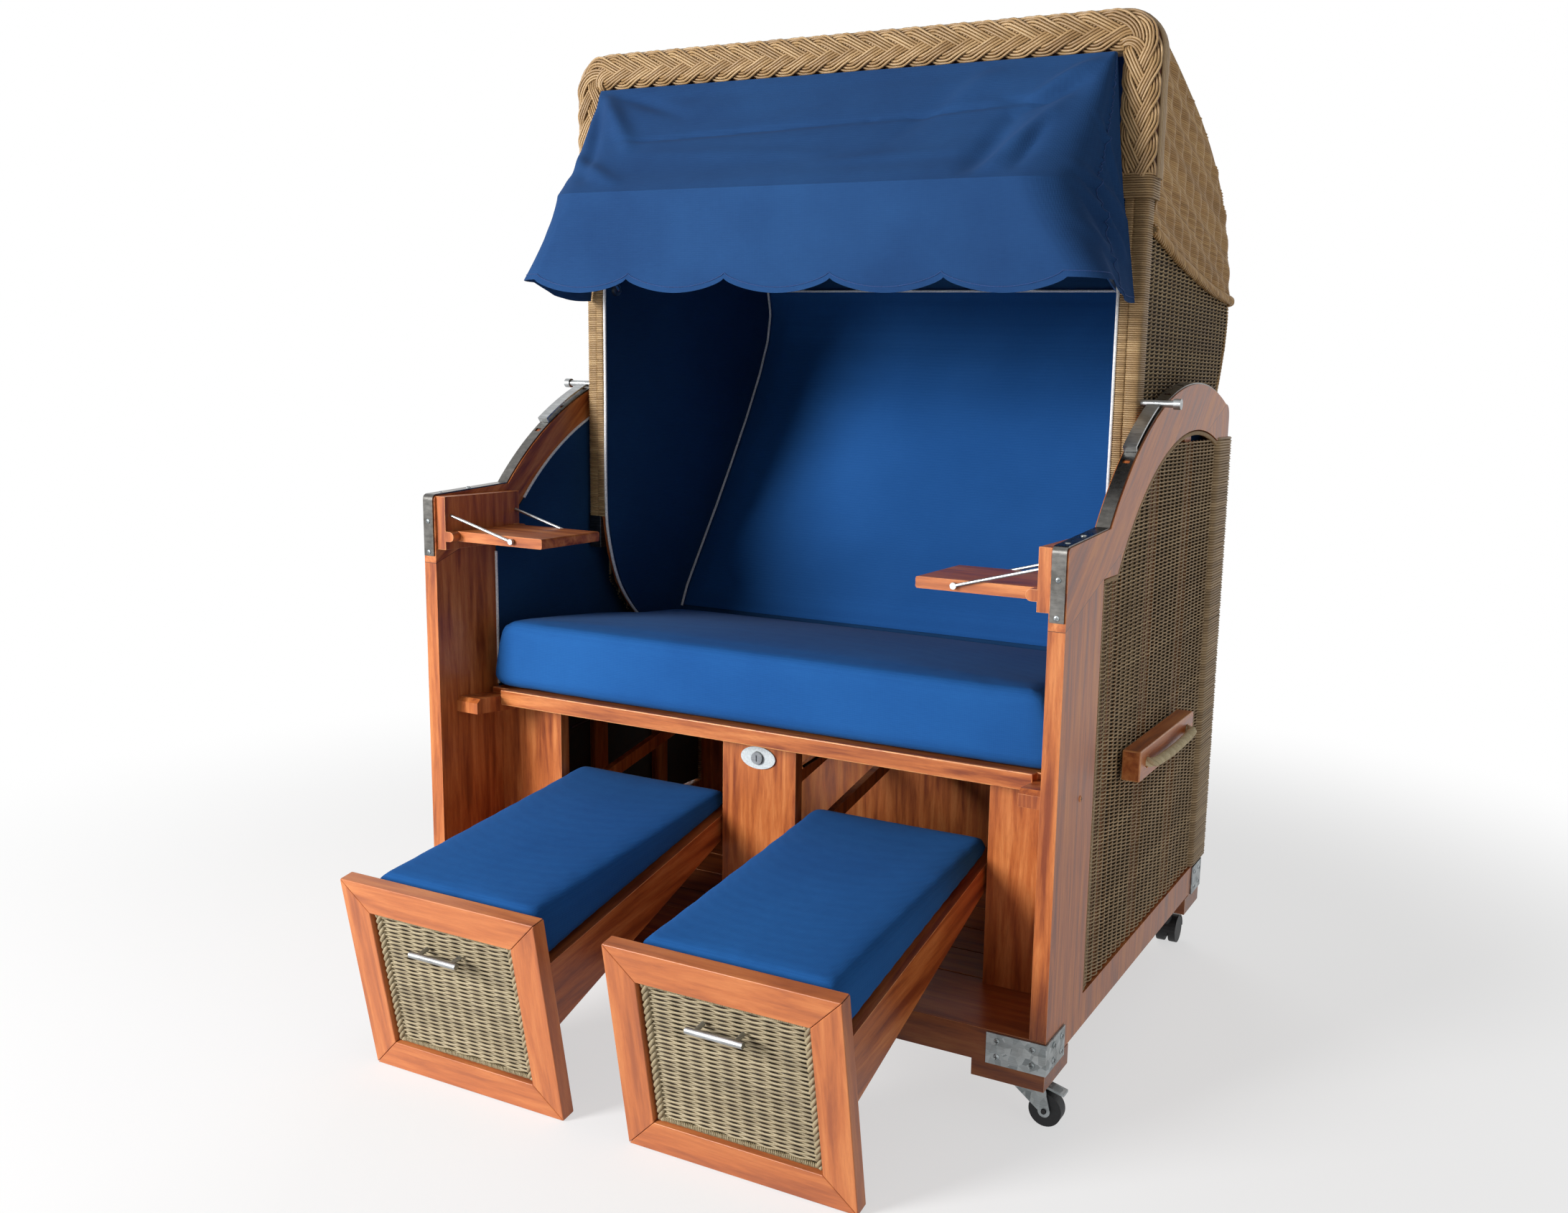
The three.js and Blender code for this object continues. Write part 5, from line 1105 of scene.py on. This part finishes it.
# Braid: a flat plait of five bundles of canes, each over two others and under two
braid = {"half": 0.551, "bottom": 1.475, "top": 1.705, "corner": 0.034, "face": 0.4035, "step": 0.005,
         "reach": 0.0250, "period": 0.225, "depth": 0.0028, "bundles": 5, "canes": 4, "cane": 0.00228,
         "flat": 0.020, "bend": 0.012, "sway": 0.94, "back": 0.402,
         "core": [(-0.029, 0.009), (-0.024, 0.004), (0.024, 0.004), (0.029, 0.009), (0.031, 0.030),
                  (0.029, 0.048), (-0.029, 0.048), (-0.031, 0.030)],
         "edge": [(0.0315, 0.014), (0.0325, 0.0185), (0.033, 0.023), (0.033, 0.0275), (0.033, 0.032),
                  (0.0325, 0.0365), (0.0315, 0.041), (0.030, 0.0455), (0.0255, 0.0485), (0.021, 0.0495),
                  (0.0165, 0.0495)], "edgeStrand": 0.0023}


def braidPath():
    r, x, top = braid["corner"], braid["half"], braid["top"]
    turns = spread(0, math.pi / 2, 8)
    points = [(-x, braid["bottom"])]
    points += [(-x + r - r * math.cos(a), top - r + r * math.sin(a)) for a in turns]
    points += [(x - r + r * math.sin(a), top - r + r * math.cos(a)) for a in turns]
    points.append((x, braid["bottom"]))
    return evenPath([(px, 0, pz) for px, pz in points], braid["step"])


def spotOn(path, i, u, y):
    along = alongAt(path, i)
    return path[i] + Vector((-along.z, 0, along.x)) * u + Vector((0, y, 0))


def plaitSpot(path, k, u, lift):  # k counts along the path; u goes towards the outside of the arch
    b = braid
    k = min(max(k, 0), len(path) - 1.001)
    i = int(k)
    along = alongAt(path, i, 2)
    over, back = abs(u) - b["flat"], 0.0
    if over > 0:
        turn = min(over / b["bend"], 1.5)
        back = b["bend"] * (1 - math.cos(turn))
        u = math.copysign(b["flat"] + b["bend"] * math.sin(turn), u)
        lift, u = lift * math.cos(turn), u + math.copysign(lift * math.sin(turn), u)
    side = Vector((-along.z, 0, along.x))
    return path[i].lerp(path[i + 1], k - i) + side * u + Vector((0, b["face"] + back - lift, 0))


def plaitRow(path, part, cane):
    b = braid
    spacing = (path[1] - path[0]).length
    total = (len(path) - 1) * spacing
    across = (cane - (b["canes"] - 1) / 2) * 2 * b["cane"] * 1.05
    row = []
    for i in range(int(total / b["step"]) + 1):
        s = i * b["step"]
        turn = tau * (s / b["period"] + part / b["bundles"])
        u, ahead = (b["reach"] * math.asin(b["sway"] * math.cos(t)) / math.asin(b["sway"])
                    for t in (turn, turn + 0.1))
        slope = (ahead - u) / (0.1 / tau * b["period"])
        norm = math.hypot(1, slope)
        lift = b["depth"] * min(max(1.5 * math.sin(2 * turn), -1), 1)
        along = min(max(s - slope * across / norm, 0), total)
        row.append((plaitSpot(path, along / spacing, u + across / norm, lift), (0, -1, 0), (0, 0, 1), 0.0))
    return row


def makeBraid():
    b = braid
    path = braidPath()
    rows = [plaitRow(path, part, cane) for part in range(b["bundles"]) for cane in range(b["canes"])]
    plait = strandPiece("hood_braid", rows, seed=71, Strand_Radius=b["cane"], Sides=6, Look=cane)
    given(plait, *hoodOf, ["braid"])
    n, last = len(b["core"]), len(path) - 1
    places = [spotOn(path, i, u, b["back"] + back) for i in range(last + 1) for u, back in b["core"]]
    faces = [(i * n + j, i * n + (j + 1) % n, (i + 1) * n + (j + 1) % n, (i + 1) * n + j)
             for i in range(last) for j in range(n)]
    faces += [tuple(reversed(range(n))), tuple(range(last * n, (last + 1) * n))]
    # the core behind the canes is painted shadow that shows in the gaps
    inner = outward(meshPiece("hood_braid_core", places, faces, [canePaintedShadow]))
    given(smoothFaces(inner, 50), *hoodOf)
    lay = [[spotOn(path, i, way * u, b["back"] + back) for i in range(last + 1)]
           for u, back in b["edge"] for way in (1, -1)]
    given(tubePiece("hood_braid_edge", lay, b["edgeStrand"], woundCane, 5, seed=72), *hoodOf)


makeBraid()
print("braid done")


# Awning: one cloth over the bow, hanging in front with scallops and back along both sides
awning = {"topHalf": 0.513, "top": 1.667, "bowHalf": 0.486, "bow": 1.452, "bowForward": 0.214,
          "bottomHalf": 0.577, "rearHalf": 0.560, "midRear": 0.531, "bottom": 1.302, "corner": 0.060,
          "wingRise": -0.026, "scallops": 5, "scallop": 0.024, "sag": 0.010, "thick": 0.003,
          "cloth": 0.0014, "braidGap": 0.012, "above": 64, "below": 24, "wing": 26, "turn": 10,
          "front": 190, "seam": 16, "hem": 0.0095, "thread": 0.0008, "post": 0.41, "flare": 1.3,
          "cornerShare": 0.4, "tuckedRows": 5}
creases = {"seamWide": 2.4, "pucker": 0.0045, "puckers": 11, "skew": 0.55, "wander": 2.4, "side": 0.0040,
           "top": 0.0022, "hang": 0.0034, "atEnds": 1.4, "out": 0.74, "up": 0.67}
# Folds: from a point to a point, height, half width. Above the bow a point is x and the share of
# the way down from the braid, and at the sides it is y and z
awningFolds = [
    (0.505, 0.02, 0.385, 0.42, 0.0120, 0.017), (0.470, 0.24, 0.375, 0.46, -0.0120, 0.015),
    (0.375, 0.45, 0.335, 0.93, -0.0130, 0.022), (0.457, 0.40, 0.370, 0.93, 0.0120, 0.018),
    (0.440, 0.56, 0.415, 0.90, -0.0080, 0.012), (0.340, 0.34, 0.420, 0.37, -0.0045, 0.007),
    (0.330, 0.08, 0.240, 0.38, 0.0060, 0.024), (0.260, 0.20, 0.170, 0.62, -0.0050, 0.024),
    (-0.500, 0.04, -0.370, 0.58, 0.0120, 0.018), (-0.500, 0.10, -0.430, 0.85, -0.0100, 0.016),
    (-0.480, 0.00, -0.290, 0.30, -0.0065, 0.016), (-0.490, 0.65, -0.350, 0.92, 0.0080, 0.016),
    (-0.400, 0.53, 0.120, 0.45, -0.0046, 0.007), (0.110, 0.46, 0.400, 0.37, -0.0050, 0.007),
    (-0.400, 0.64, 0.050, 0.72, 0.0030, 0.016), (0.050, 0.80, 0.300, 0.76, 0.0030, 0.014)]
sideFolds = [
    (0.255, 1.450, 0.385, 1.350, -0.0130, 0.013), (0.262, 1.478, 0.392, 1.410, 0.0100, 0.013),
    (0.330, 1.560, 0.388, 1.440, -0.0080, 0.010), (0.230, 1.390, 0.330, 1.330, 0.0080, 0.014)]


def awningRow(height, frontBack, frontHalf, rearBack, rearHalf, hang):
    a = awning
    run = rearBack - frontBack
    corner = min(a["corner"], run * a["cornerShare"])
    wing = []
    for i in range(a["wing"]):
        share = i / a["wing"]
        drop = a["wingRise"] * (1 - share) - a["scallop"] / 2 * math.sin(math.pi * share)
        wing.append((rearBack - share * (run - corner), hang * drop, 0))
    for i in range(a["turn"]):
        turn = math.pi / 2 * i / a["turn"]
        wing.append((frontBack + corner * (1 - math.sin(turn)), 0, corner * (1 - math.cos(turn))))
    wing = [(frontHalf + (rearHalf - frontHalf) * (y - frontBack) / run - inward, y, height + drop)
            for y, drop, inward in wing]
    straight = frontHalf - corner
    row = [(-x, y, z) for x, y, z in wing]
    for i in range(a["front"] + 1):
        share = i / a["front"]
        wave = abs(math.sin(math.pi * a["scallops"] * share)) ** 0.7
        row.append((straight * (2 * share - 1), frontBack, height - hang * a["scallop"] * wave))
    return row + list(reversed(wing))


def awningRows():
    a = awning
    rows = []
    bowBack = hood["front"] - a["bowForward"]
    nearPost = hood["front"] - a["thick"]
    nearBraid = nearPost - a["braidGap"]
    for i in range(a["above"]):
        t = i / a["above"]
        slack = a["sag"] * math.sin(math.pi * t)
        rows.append(awningRow(mix(a["top"], a["bow"], t) - slack,
                              mix(nearBraid - a["thick"] * 3, bowBack, t),
                              mix(a["topHalf"], a["bowHalf"], t), nearBraid,
                              mix(a["topHalf"], a["midRear"], t) + a["thick"] * t, 0))
    for i in range(a["below"] + 1):
        t = i / a["below"]
        rows.append(awningRow(mix(a["bow"], a["bottom"], t), bowBack,
                              mix(a["bowHalf"], a["bottomHalf"], t ** a["flare"]),
                              nearPost if i > a["tuckedRows"] else nearBraid,
                              mix(a["midRear"] + a["thick"], a["rearHalf"], t), t))
    return rows


def foldHeight(folds, x, down, scale=1.0):
    total = 0.0
    for x0, t0, x1, t1, high, wide in folds:
        ax, at = x1 - x0, (t1 - t0) * scale
        dx, dt = x - x0, (down - t0) * scale
        near = min(max((dx * ax + dt * at) / (ax * ax + at * at), 0), 1)
        apart = (dx - ax * near) ** 2 + (dt - at * near) ** 2
        total += high * math.exp(-apart / wide ** 2) * math.sin(math.pi * (0.12 + 0.76 * near))
    return total


def creased(place, column):
    a, c = awning, creases
    x, y, z = place
    down = (a["top"] - z) / (a["top"] - a["bow"])
    inward = min(column, 2 * (a["wing"] + a["turn"]) + a["front"] - column)
    seam = math.exp(-((inward - a["seam"]) / c["seamWide"]) ** 2) * smooth(0.0, 0.25, down)
    phase = tau * c["puckers"] * down + c["skew"] * inward + c["wander"] * noise.noise((down * 7, 0, 4.0))
    pucker = c["pucker"] * math.sin(phase) * seam
    swell = c["side"] * noise.noise((y * 13, z * 7 + 2 * y, 3.0)) + foldHeight(sideFolds, y, z)
    swell *= smooth(0.06, 0.4, down) * smooth(0.0, 0.05, a["post"] - y)
    x += math.copysign((pucker + swell) * (1 - smooth(a["wing"] - 2, a["wing"] + a["turn"], inward)), x)
    wavy = c["top"] * noise.noise((place[0] * 3, down * 7 + 0.3 * math.sin(place[0] * 6), 1.3))
    above = smooth(0.0, 0.12, down) * (1 - smooth(0.9, 1.0, down))
    slope = math.hypot(a["top"] - a["bow"], a["bowForward"])
    lift = (foldHeight(awningFolds, x, down, slope) + wavy) * above * smooth(0.0, 0.02, a["post"] - y)
    ends = 1 + c["atEnds"] * smooth(0.32, 0.52, abs(x))
    hang = c["hang"] * ends * noise.noise((x * 6, z * 2.2, 7.0)) * smooth(0.0, 0.05, a["bow"] - z)
    hang *= smooth(0.0, 0.03, a["post"] - y)
    return (x, y - hang - c["out"] * lift, z + c["up"] * lift)


# Stitched lines along the hem and where the side pieces are sewn on
def awningSeams(rows):
    a = awning
    hem = []
    for j, ((x0, y0, z0), (x1, y1, z1)) in enumerate(zip(rows[-1], rows[-3])):
        share = a["hem"] / (z1 - z0)
        x, y, z = creased((mix(x0, x1, share), mix(y0, y1, share), z0 + a["hem"]), j)
        hem.append(Vector((x + math.copysign(0.0006, x) * (y > 0.26), y - 0.0006, z)))
    lines = [hem]
    for j in (a["seam"], len(rows[0]) - 1 - a["seam"]):
        lines.append([Vector(creased(row[j], j)) + Vector((math.copysign(0.0007, row[j][0]), 0, 0))
                      for row in rows[2:]])
    seams = tubePiece("awning_seams", lines, a["thread"], seamThread, 5)
    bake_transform(seams)


def makeAwning():
    rows = awningRows()
    across = len(rows[0])
    places = [creased(place, j) for row in rows for j, place in enumerate(row)]
    faces = [(i * across + j, (i + 1) * across + j, (i + 1) * across + j + 1, i * across + j + 1)
             for i in range(len(rows) - 1) for j in range(across - 1)]
    piece = outward(meshPiece("awning_cloth", places, faces, [awningCloth]))
    if piece.data.polygons[len(piece.data.polygons) // 2].normal.y > 0:
        piece.data.flip_normals()
    smoothFaces(thickened(piece, awning["cloth"], -1), 30)
    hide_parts("awning")
    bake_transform(piece)
    awningSeams(rows)


makeAwning()
print("awning done")


# Cushions
seatShape = {"voxel": 0.0095, "shrink": 0.003, "cap": 0.005}
restShape = {"voxel": 0.0074, "shrink": 0.002, "cap": 0.003}


# The cloth swells for twenty frames, no vertex by more than the cap
def swollen(piece, cap):
    start = [v.co.copy() for v in piece.data.vertices]
    change = piece.modifiers.new("cloth", "CLOTH")
    change.settings.use_pressure = True
    change.settings.uniform_pressure_force = 4
    change.settings.effector_weights.gravity = 0
    change.settings.quality = 5
    for step in range(1, 21):
        bpy.context.scene.frame_set(step)
    baked(piece)
    bpy.context.scene.frame_set(1)
    for vertex, old in zip(piece.data.vertices, start):
        move = vertex.co - old
        if move.length > cap:
            vertex.co = old + move * (cap / move.length)


def cushionFrom(node, shape):
    piece = outward(newObject(f"{node}_cover", frame["nodes"][node].data.copy()))
    mesh = piece.data
    for vertex, normal in zip(mesh.vertices, [v.normal.copy() for v in mesh.vertices]):
        vertex.co -= normal * shape["shrink"]
        if node == "seat_cushion":  # wider in front of the hood's boards, most at the bottom
            x, y, z = vertex.co
            wide = smooth(0.44, 0.525, abs(x)) * (1 - smooth(0.36, 0.43, y + frontY))
            vertex.co.x += math.copysign(wide * mix(0.048, 0.036, smooth(0.56, 0.69, z)), x)
    remesh = piece.modifiers.new("even", "REMESH")
    remesh.mode, remesh.voxel_size = "VOXEL", shape["voxel"]
    baked(piece)
    swollen(piece, shape["cap"])
    relax = piece.modifiers.new("relax", "SMOOTH")
    relax.factor, relax.iterations = 0.5, 2
    divide = piece.modifiers.new("fine", "SUBSURF")
    divide.levels = divide.render_levels = 1
    baked(piece)
    setLooks(piece.data, blueCloth)
    painted(piece, [0] * len(piece.data.polygons))
    given(smoothFaces(piece), bodyOf[node], "cloth", [node])


cushionFrom("seat_cushion", seatShape)
for side, sign in sides:
    cushionFrom(f"{side}_footrest_cushion", restShape)
print("cushions done")


# Linings, the back pad and their piping
softened("hood_lining", "cloth", "lining", [liningCloth], 0.0015, 40)
for side, sign in sides:
    softened(f"{side}_arm_lining", "cloth", "lining", [liningCloth], 0.001, 40)
backPad = {"half": 0.5254, "low": 0.632, "top": 1.336, "back": 0.0203, "thick": 0.012, "rim": 0.05,
           "steps": 60, "sink": 0.004, "soft": 0.0016, "piping": 0.0027}
piping = {"hoodX": 0.5290, "hoodY": 0.4125, "hood": 0.0030, "armX": 0.5805, "armY": 0.1490, "armLow": 0.545,
          "armTop": 0.80, "armRadius": 0.5815, "arm": 0.0026}


def makeBackPad():
    p = backPad
    low, top, half, steps = p["low"], p["top"], p["half"], p["steps"]
    rear, front = (sorted((z, y) for y, z in lineInside(offset))
                   for offset in (p["back"], p["back"] + p["thick"]))
    places, faces = [], []
    for behind in (False, True):
        for z in spread(low, top, steps):
            back, face = between(rear, z), between(front, z)
            for x in spread(-half, half, steps):
                rim = min(smooth(0, p["rim"], half - abs(x)), smooth(0, p["rim"], z - low),
                          smooth(0, p["rim"], top - z))
                soft = p["soft"] * noise.noise((x * 4, z * 4, 2.0))
                near = mix(back - p["sink"], face - p["sink"] - soft, rim)
                places.append((x, back if behind else near, z))
    n = steps + 1
    sheet = n * n
    for i in range(steps):
        for j in range(steps):
            a, b, c, d = i * n + j, i * n + j + 1, (i + 1) * n + j + 1, (i + 1) * n + j
            faces += [(a, b, c, d), (sheet + d, sheet + c, sheet + b, sheet + a)]
    rim = list(range(n)) + [i * n + steps for i in range(1, n)]
    rim += [steps * n + j for j in range(steps - 1, -1, -1)] + [i * n for i in range(steps - 1, 0, -1)]
    faces += [(b, a, sheet + a, sheet + b) for a, b in zip(rim, rim[1:] + rim[:1])]
    piece = outward(meshPiece("back_pad_cover", places, faces, [padCloth]))
    given(smoothFaces(piece, 60), "hood", "cloth", ["back_pad"])
    lines = [[(x, between(front, top) - 0.001, top) for x in (-half, -half / 2, 0, half / 2, half)]]
    lines += [[(x, between(front, z) - 0.002, z) for z in spread(low, top, 50)]
              for x in (-half + 0.003, half - 0.003)]
    given(tubePiece("back_pad_piping", lines, p["piping"], pipingCloth), "hood", "lining")


def makePiping():
    p = piping
    paths, arms = [], []
    for side, sign in sides:
        path = [(sign * p["hoodX"], p["hoodY"], z) for z in (1.34, 1.3, 1.1, 0.85)]
        path += [(sign * p["hoodX"], y - 0.005, z) for y, z in lowerCurve[1:]]
        paths.append(smoothPath(path, 0.01))
        x = sign * p["armX"]
        arms.append(evenPath([(x, p["armY"], p["armLow"]), (x, p["armY"], p["armTop"])], 0.01))
        arms.append([(x, y, z) for y, z in pivotArc(p["armRadius"], 139.5, 2.5, 30)])
    given(tubePiece("hood_piping", paths, p["hood"], pipingCloth), "hood", "lining")
    given(tubePiece("arm_piping", arms, p["arm"], pipingCloth), "base", "lining")


makeBackPad()
makePiping()
print("linings done")


# Carry ropes: three strands laid together
ropeShape = {"root": 0.6172, "line": 0.6573, "outer": 0.6443, "from": 0.345, "to": 0.598,
             "z": 0.524, "low": 0.520, "bend": 0.017, "bendX": 0.00425, "bendY": 0.0028}
ropeCoil = {"radius": 0.0086, "strand": 0.0046, "pitch": 0.036, "strands": 3, "sides": 10, "turnSteps": 14}


def carryRope(side, sign):
    r = ropeShape
    ends = [[(r["root"], y, r["z"]), (r["outer"], y, r["z"]),
             (r["line"] - r["bendX"], y + way * r["bendY"], r["z"]),
             (r["line"], y + way * r["bend"], r["z"])]
            for y, way in ((r["from"], 1), (r["to"], -1))]
    route = [*ends[0], (r["line"], (r["from"] + r["to"]) / 2, r["low"]), *reversed(ends[1])]
    path = smoothPath([(sign * x, y, z) for x, y, z in route], 0.004)
    rope = coilPiece(f"{side}_rope_laid", [path], ropeLook, ropeCoil)
    given(rope, "base", "rope", [f"{side}_carry_rope"])


for side, sign in sides:
    carryRope(side, sign)


# Metal: the CAD's own nodes with their finishes, screws, rear brackets and the rods in the bays
finishes = {"arm_strip": steel, "latch": brightSteel, "tray_stay": brightSteel,
            "footrest_handle": brightSteel, "footrest_axle": zinc, "front_bracket": zinc,
            "front_caster": zinc, "front_wheel": black, "rear_caster": black, "rear_wheel": black}
for side, sign in sides:
    for node, look in finishes.items():
        setLooks(frame["nodes"][f"{side}_{node}"].data, look)
for node, look in (("lock_plate", plateMetal), ("lock_cylinder", brightSteel), ("awning_bow", zinc)):
    setLooks(frame["nodes"][node].data, look)

stripScrews = [((0.5965, -0.0030, 0.867), (0, -1, 0)), ((0.5965, -0.0030, 0.812), (0, -1, 0)),
               ((0.5965, 0.030, 0.9165), (0, 0, 1)), ((0.5965, 0.098, 0.9215), (0, -0.08, 1))]
bracketScrews = [((x, -0.003, z), (0, -1, 0)) for x in (0.532, 0.590) for z in (0.125, 0.150)]
bracketScrews += [((0.6130, y, z), (1, 0, 0)) for y in (0.030, 0.064) for z in (0.125, 0.150)]
rearScrews = [((0.6128, y, z), (1, 0, 0)) for y in (0.862, 0.895) for z in (0.130, 0.160)]
rearScrews += [((x, 0.9148, z), (0, 1, 0)) for x in (0.548, 0.594) for z in (0.130, 0.160)]
plug = [((0.6102, 0.104, 0.519), (1, 0, 0))]
rearBracket = {"x0": 0.6103, "x1": 0.6125, "y0": 0.845, "y1": 0.9145, "round": 0.0008,
               "low": 0.116, "top": 0.174}
bayRods = {"apart": 0.185, "front": (0.190, 0.468), "back": (0.500, 0.497), "radius": 0.0028}


def mirrored(spots, sign):
    return [((sign * x, y, z), (sign * ox, oy, oz)) for (x, y, z), (ox, oy, oz) in spots]


for side, sign in sides:
    given(screws(f"{side}_strip_screws", mirrored(stripScrews, sign), 0.0046), "base", "steel")
    given(screws(f"{side}_bracket_screws", mirrored(bracketScrews, sign), 0.0050), "base", "zinc")
    core(f"{side}_rear_bracket", rearBracket, zinc, ("base", "zinc"), sign)
    core(f"{side}_rear_bracket_back", dict(rearBracket, x0=0.532, y0=0.9123), zinc, ("base", "zinc"), sign)
    given(screws(f"{side}_rear_bracket_screws", mirrored(rearScrews, sign), 0.0050), "base", "zinc")
    rods = [[(sign * footrest["x"] + x, *bayRods[end]) for end in ("front", "back")]
            for x in (-bayRods["apart"], bayRods["apart"])]
    given(tubePiece(f"{side}_bay_rods", rods, bayRods["radius"], blackRod), "base", "steel")
    given(screws(f"{side}_plug", mirrored(plug, sign), 0.0052, woodEdgeHighlight), "base", "wood")
print("metal done")


# Stage and light
lamps = [("key", (-2.5, -4.5, 2.0), (0, -0.2, 0.7), 1.9, 340),
         ("fill", (4.0, -1.6, 1.5), (0, 0, 0.8), 2.6, 16),
         ("top", (0.3, 0.6, 4.4), (0, 0, 0.8), 3.0, 4),
         ("back", (-2.0, 3.6, 3.0), (0, 0, 0.9), 2.5, 40)]


def seenDirectly(tree):
    path = addNode(tree, "ShaderNodeLightPath").outputs
    seen = mathNode(tree, "MAXIMUM", path["Is Camera Ray"], path["Is Glossy Ray"])
    return mathNode(tree, "MAXIMUM", seen, path["Is Transmission Ray"])


def makeFloor(size=30):
    look = bpy.data.materials.new("floorPale")
    look.use_nodes = True
    tree = look.node_tree
    tree.nodes.remove(tree.nodes["Principled BSDF"])
    seen = seenDirectly(tree)
    at = addNode(tree, "ShaderNodeTexCoord").outputs["Object"]
    away = addNode(tree, "ShaderNodeVectorMath", {0: at}, operation="LENGTH").outputs["Value"]
    fade = addNode(tree, "ShaderNodeMapRange", {"Value": away, "From Min": 1.2, "From Max": 2.6},
                   interpolation_type="SMOOTHSTEP").outputs[0]
    dull = addNode(tree, "ShaderNodeBsdfDiffuse", {"Color": (0.93, 0.93, 0.93, 1)}).outputs[0]
    glow = addNode(tree, "ShaderNodeEmission", {"Color": (1, 1, 1, 1), "Strength": 1.0}).outputs[0]
    lit = addNode(tree, "ShaderNodeMixShader",
                  {0: mathNode(tree, "MULTIPLY", seen, 0.6), 1: dull, 2: glow}).outputs[0]
    white = addNode(tree, "ShaderNodeMixShader",
                    {0: mathNode(tree, "MULTIPLY", seen, fade), 1: lit, 2: glow}).outputs[0]
    tree.links.new(white, tree.nodes["Material Output"].inputs[0])
    corners = [(-size, -size, 0), (size, -size, 0), (size, size, 0), (-size, size, 0)]
    floor = meshPiece("floor", corners, [(0, 1, 2, 3)], [look])


def makeLight():
    world = bpy.data.worlds.new("studio")
    bpy.context.scene.world = world
    world.use_nodes = True
    tree = world.node_tree
    ground = tree.nodes["Background"]
    strength = mathNode(tree, "MULTIPLY_ADD", seenDirectly(tree), 0.8, 0.2)
    ground.inputs["Color"].default_value = (1, 1, 1, 1)
    tree.links.new(strength, ground.inputs["Strength"])
    for name, place, aim, size, power in lamps:
        lamp = bpy.data.lights.new(name, "AREA")
        lamp.shape, lamp.size, lamp.energy = "DISK", size, power
        made = newObject(name, lamp)
        made.location = place
        made.rotation_euler = (Vector(aim) - Vector(place)).to_track_quat("-Z", "Y").to_euler()
    bpy.context.scene.view_settings.view_transform = "Standard"


makeFloor()
makeLight()
print("stage done")
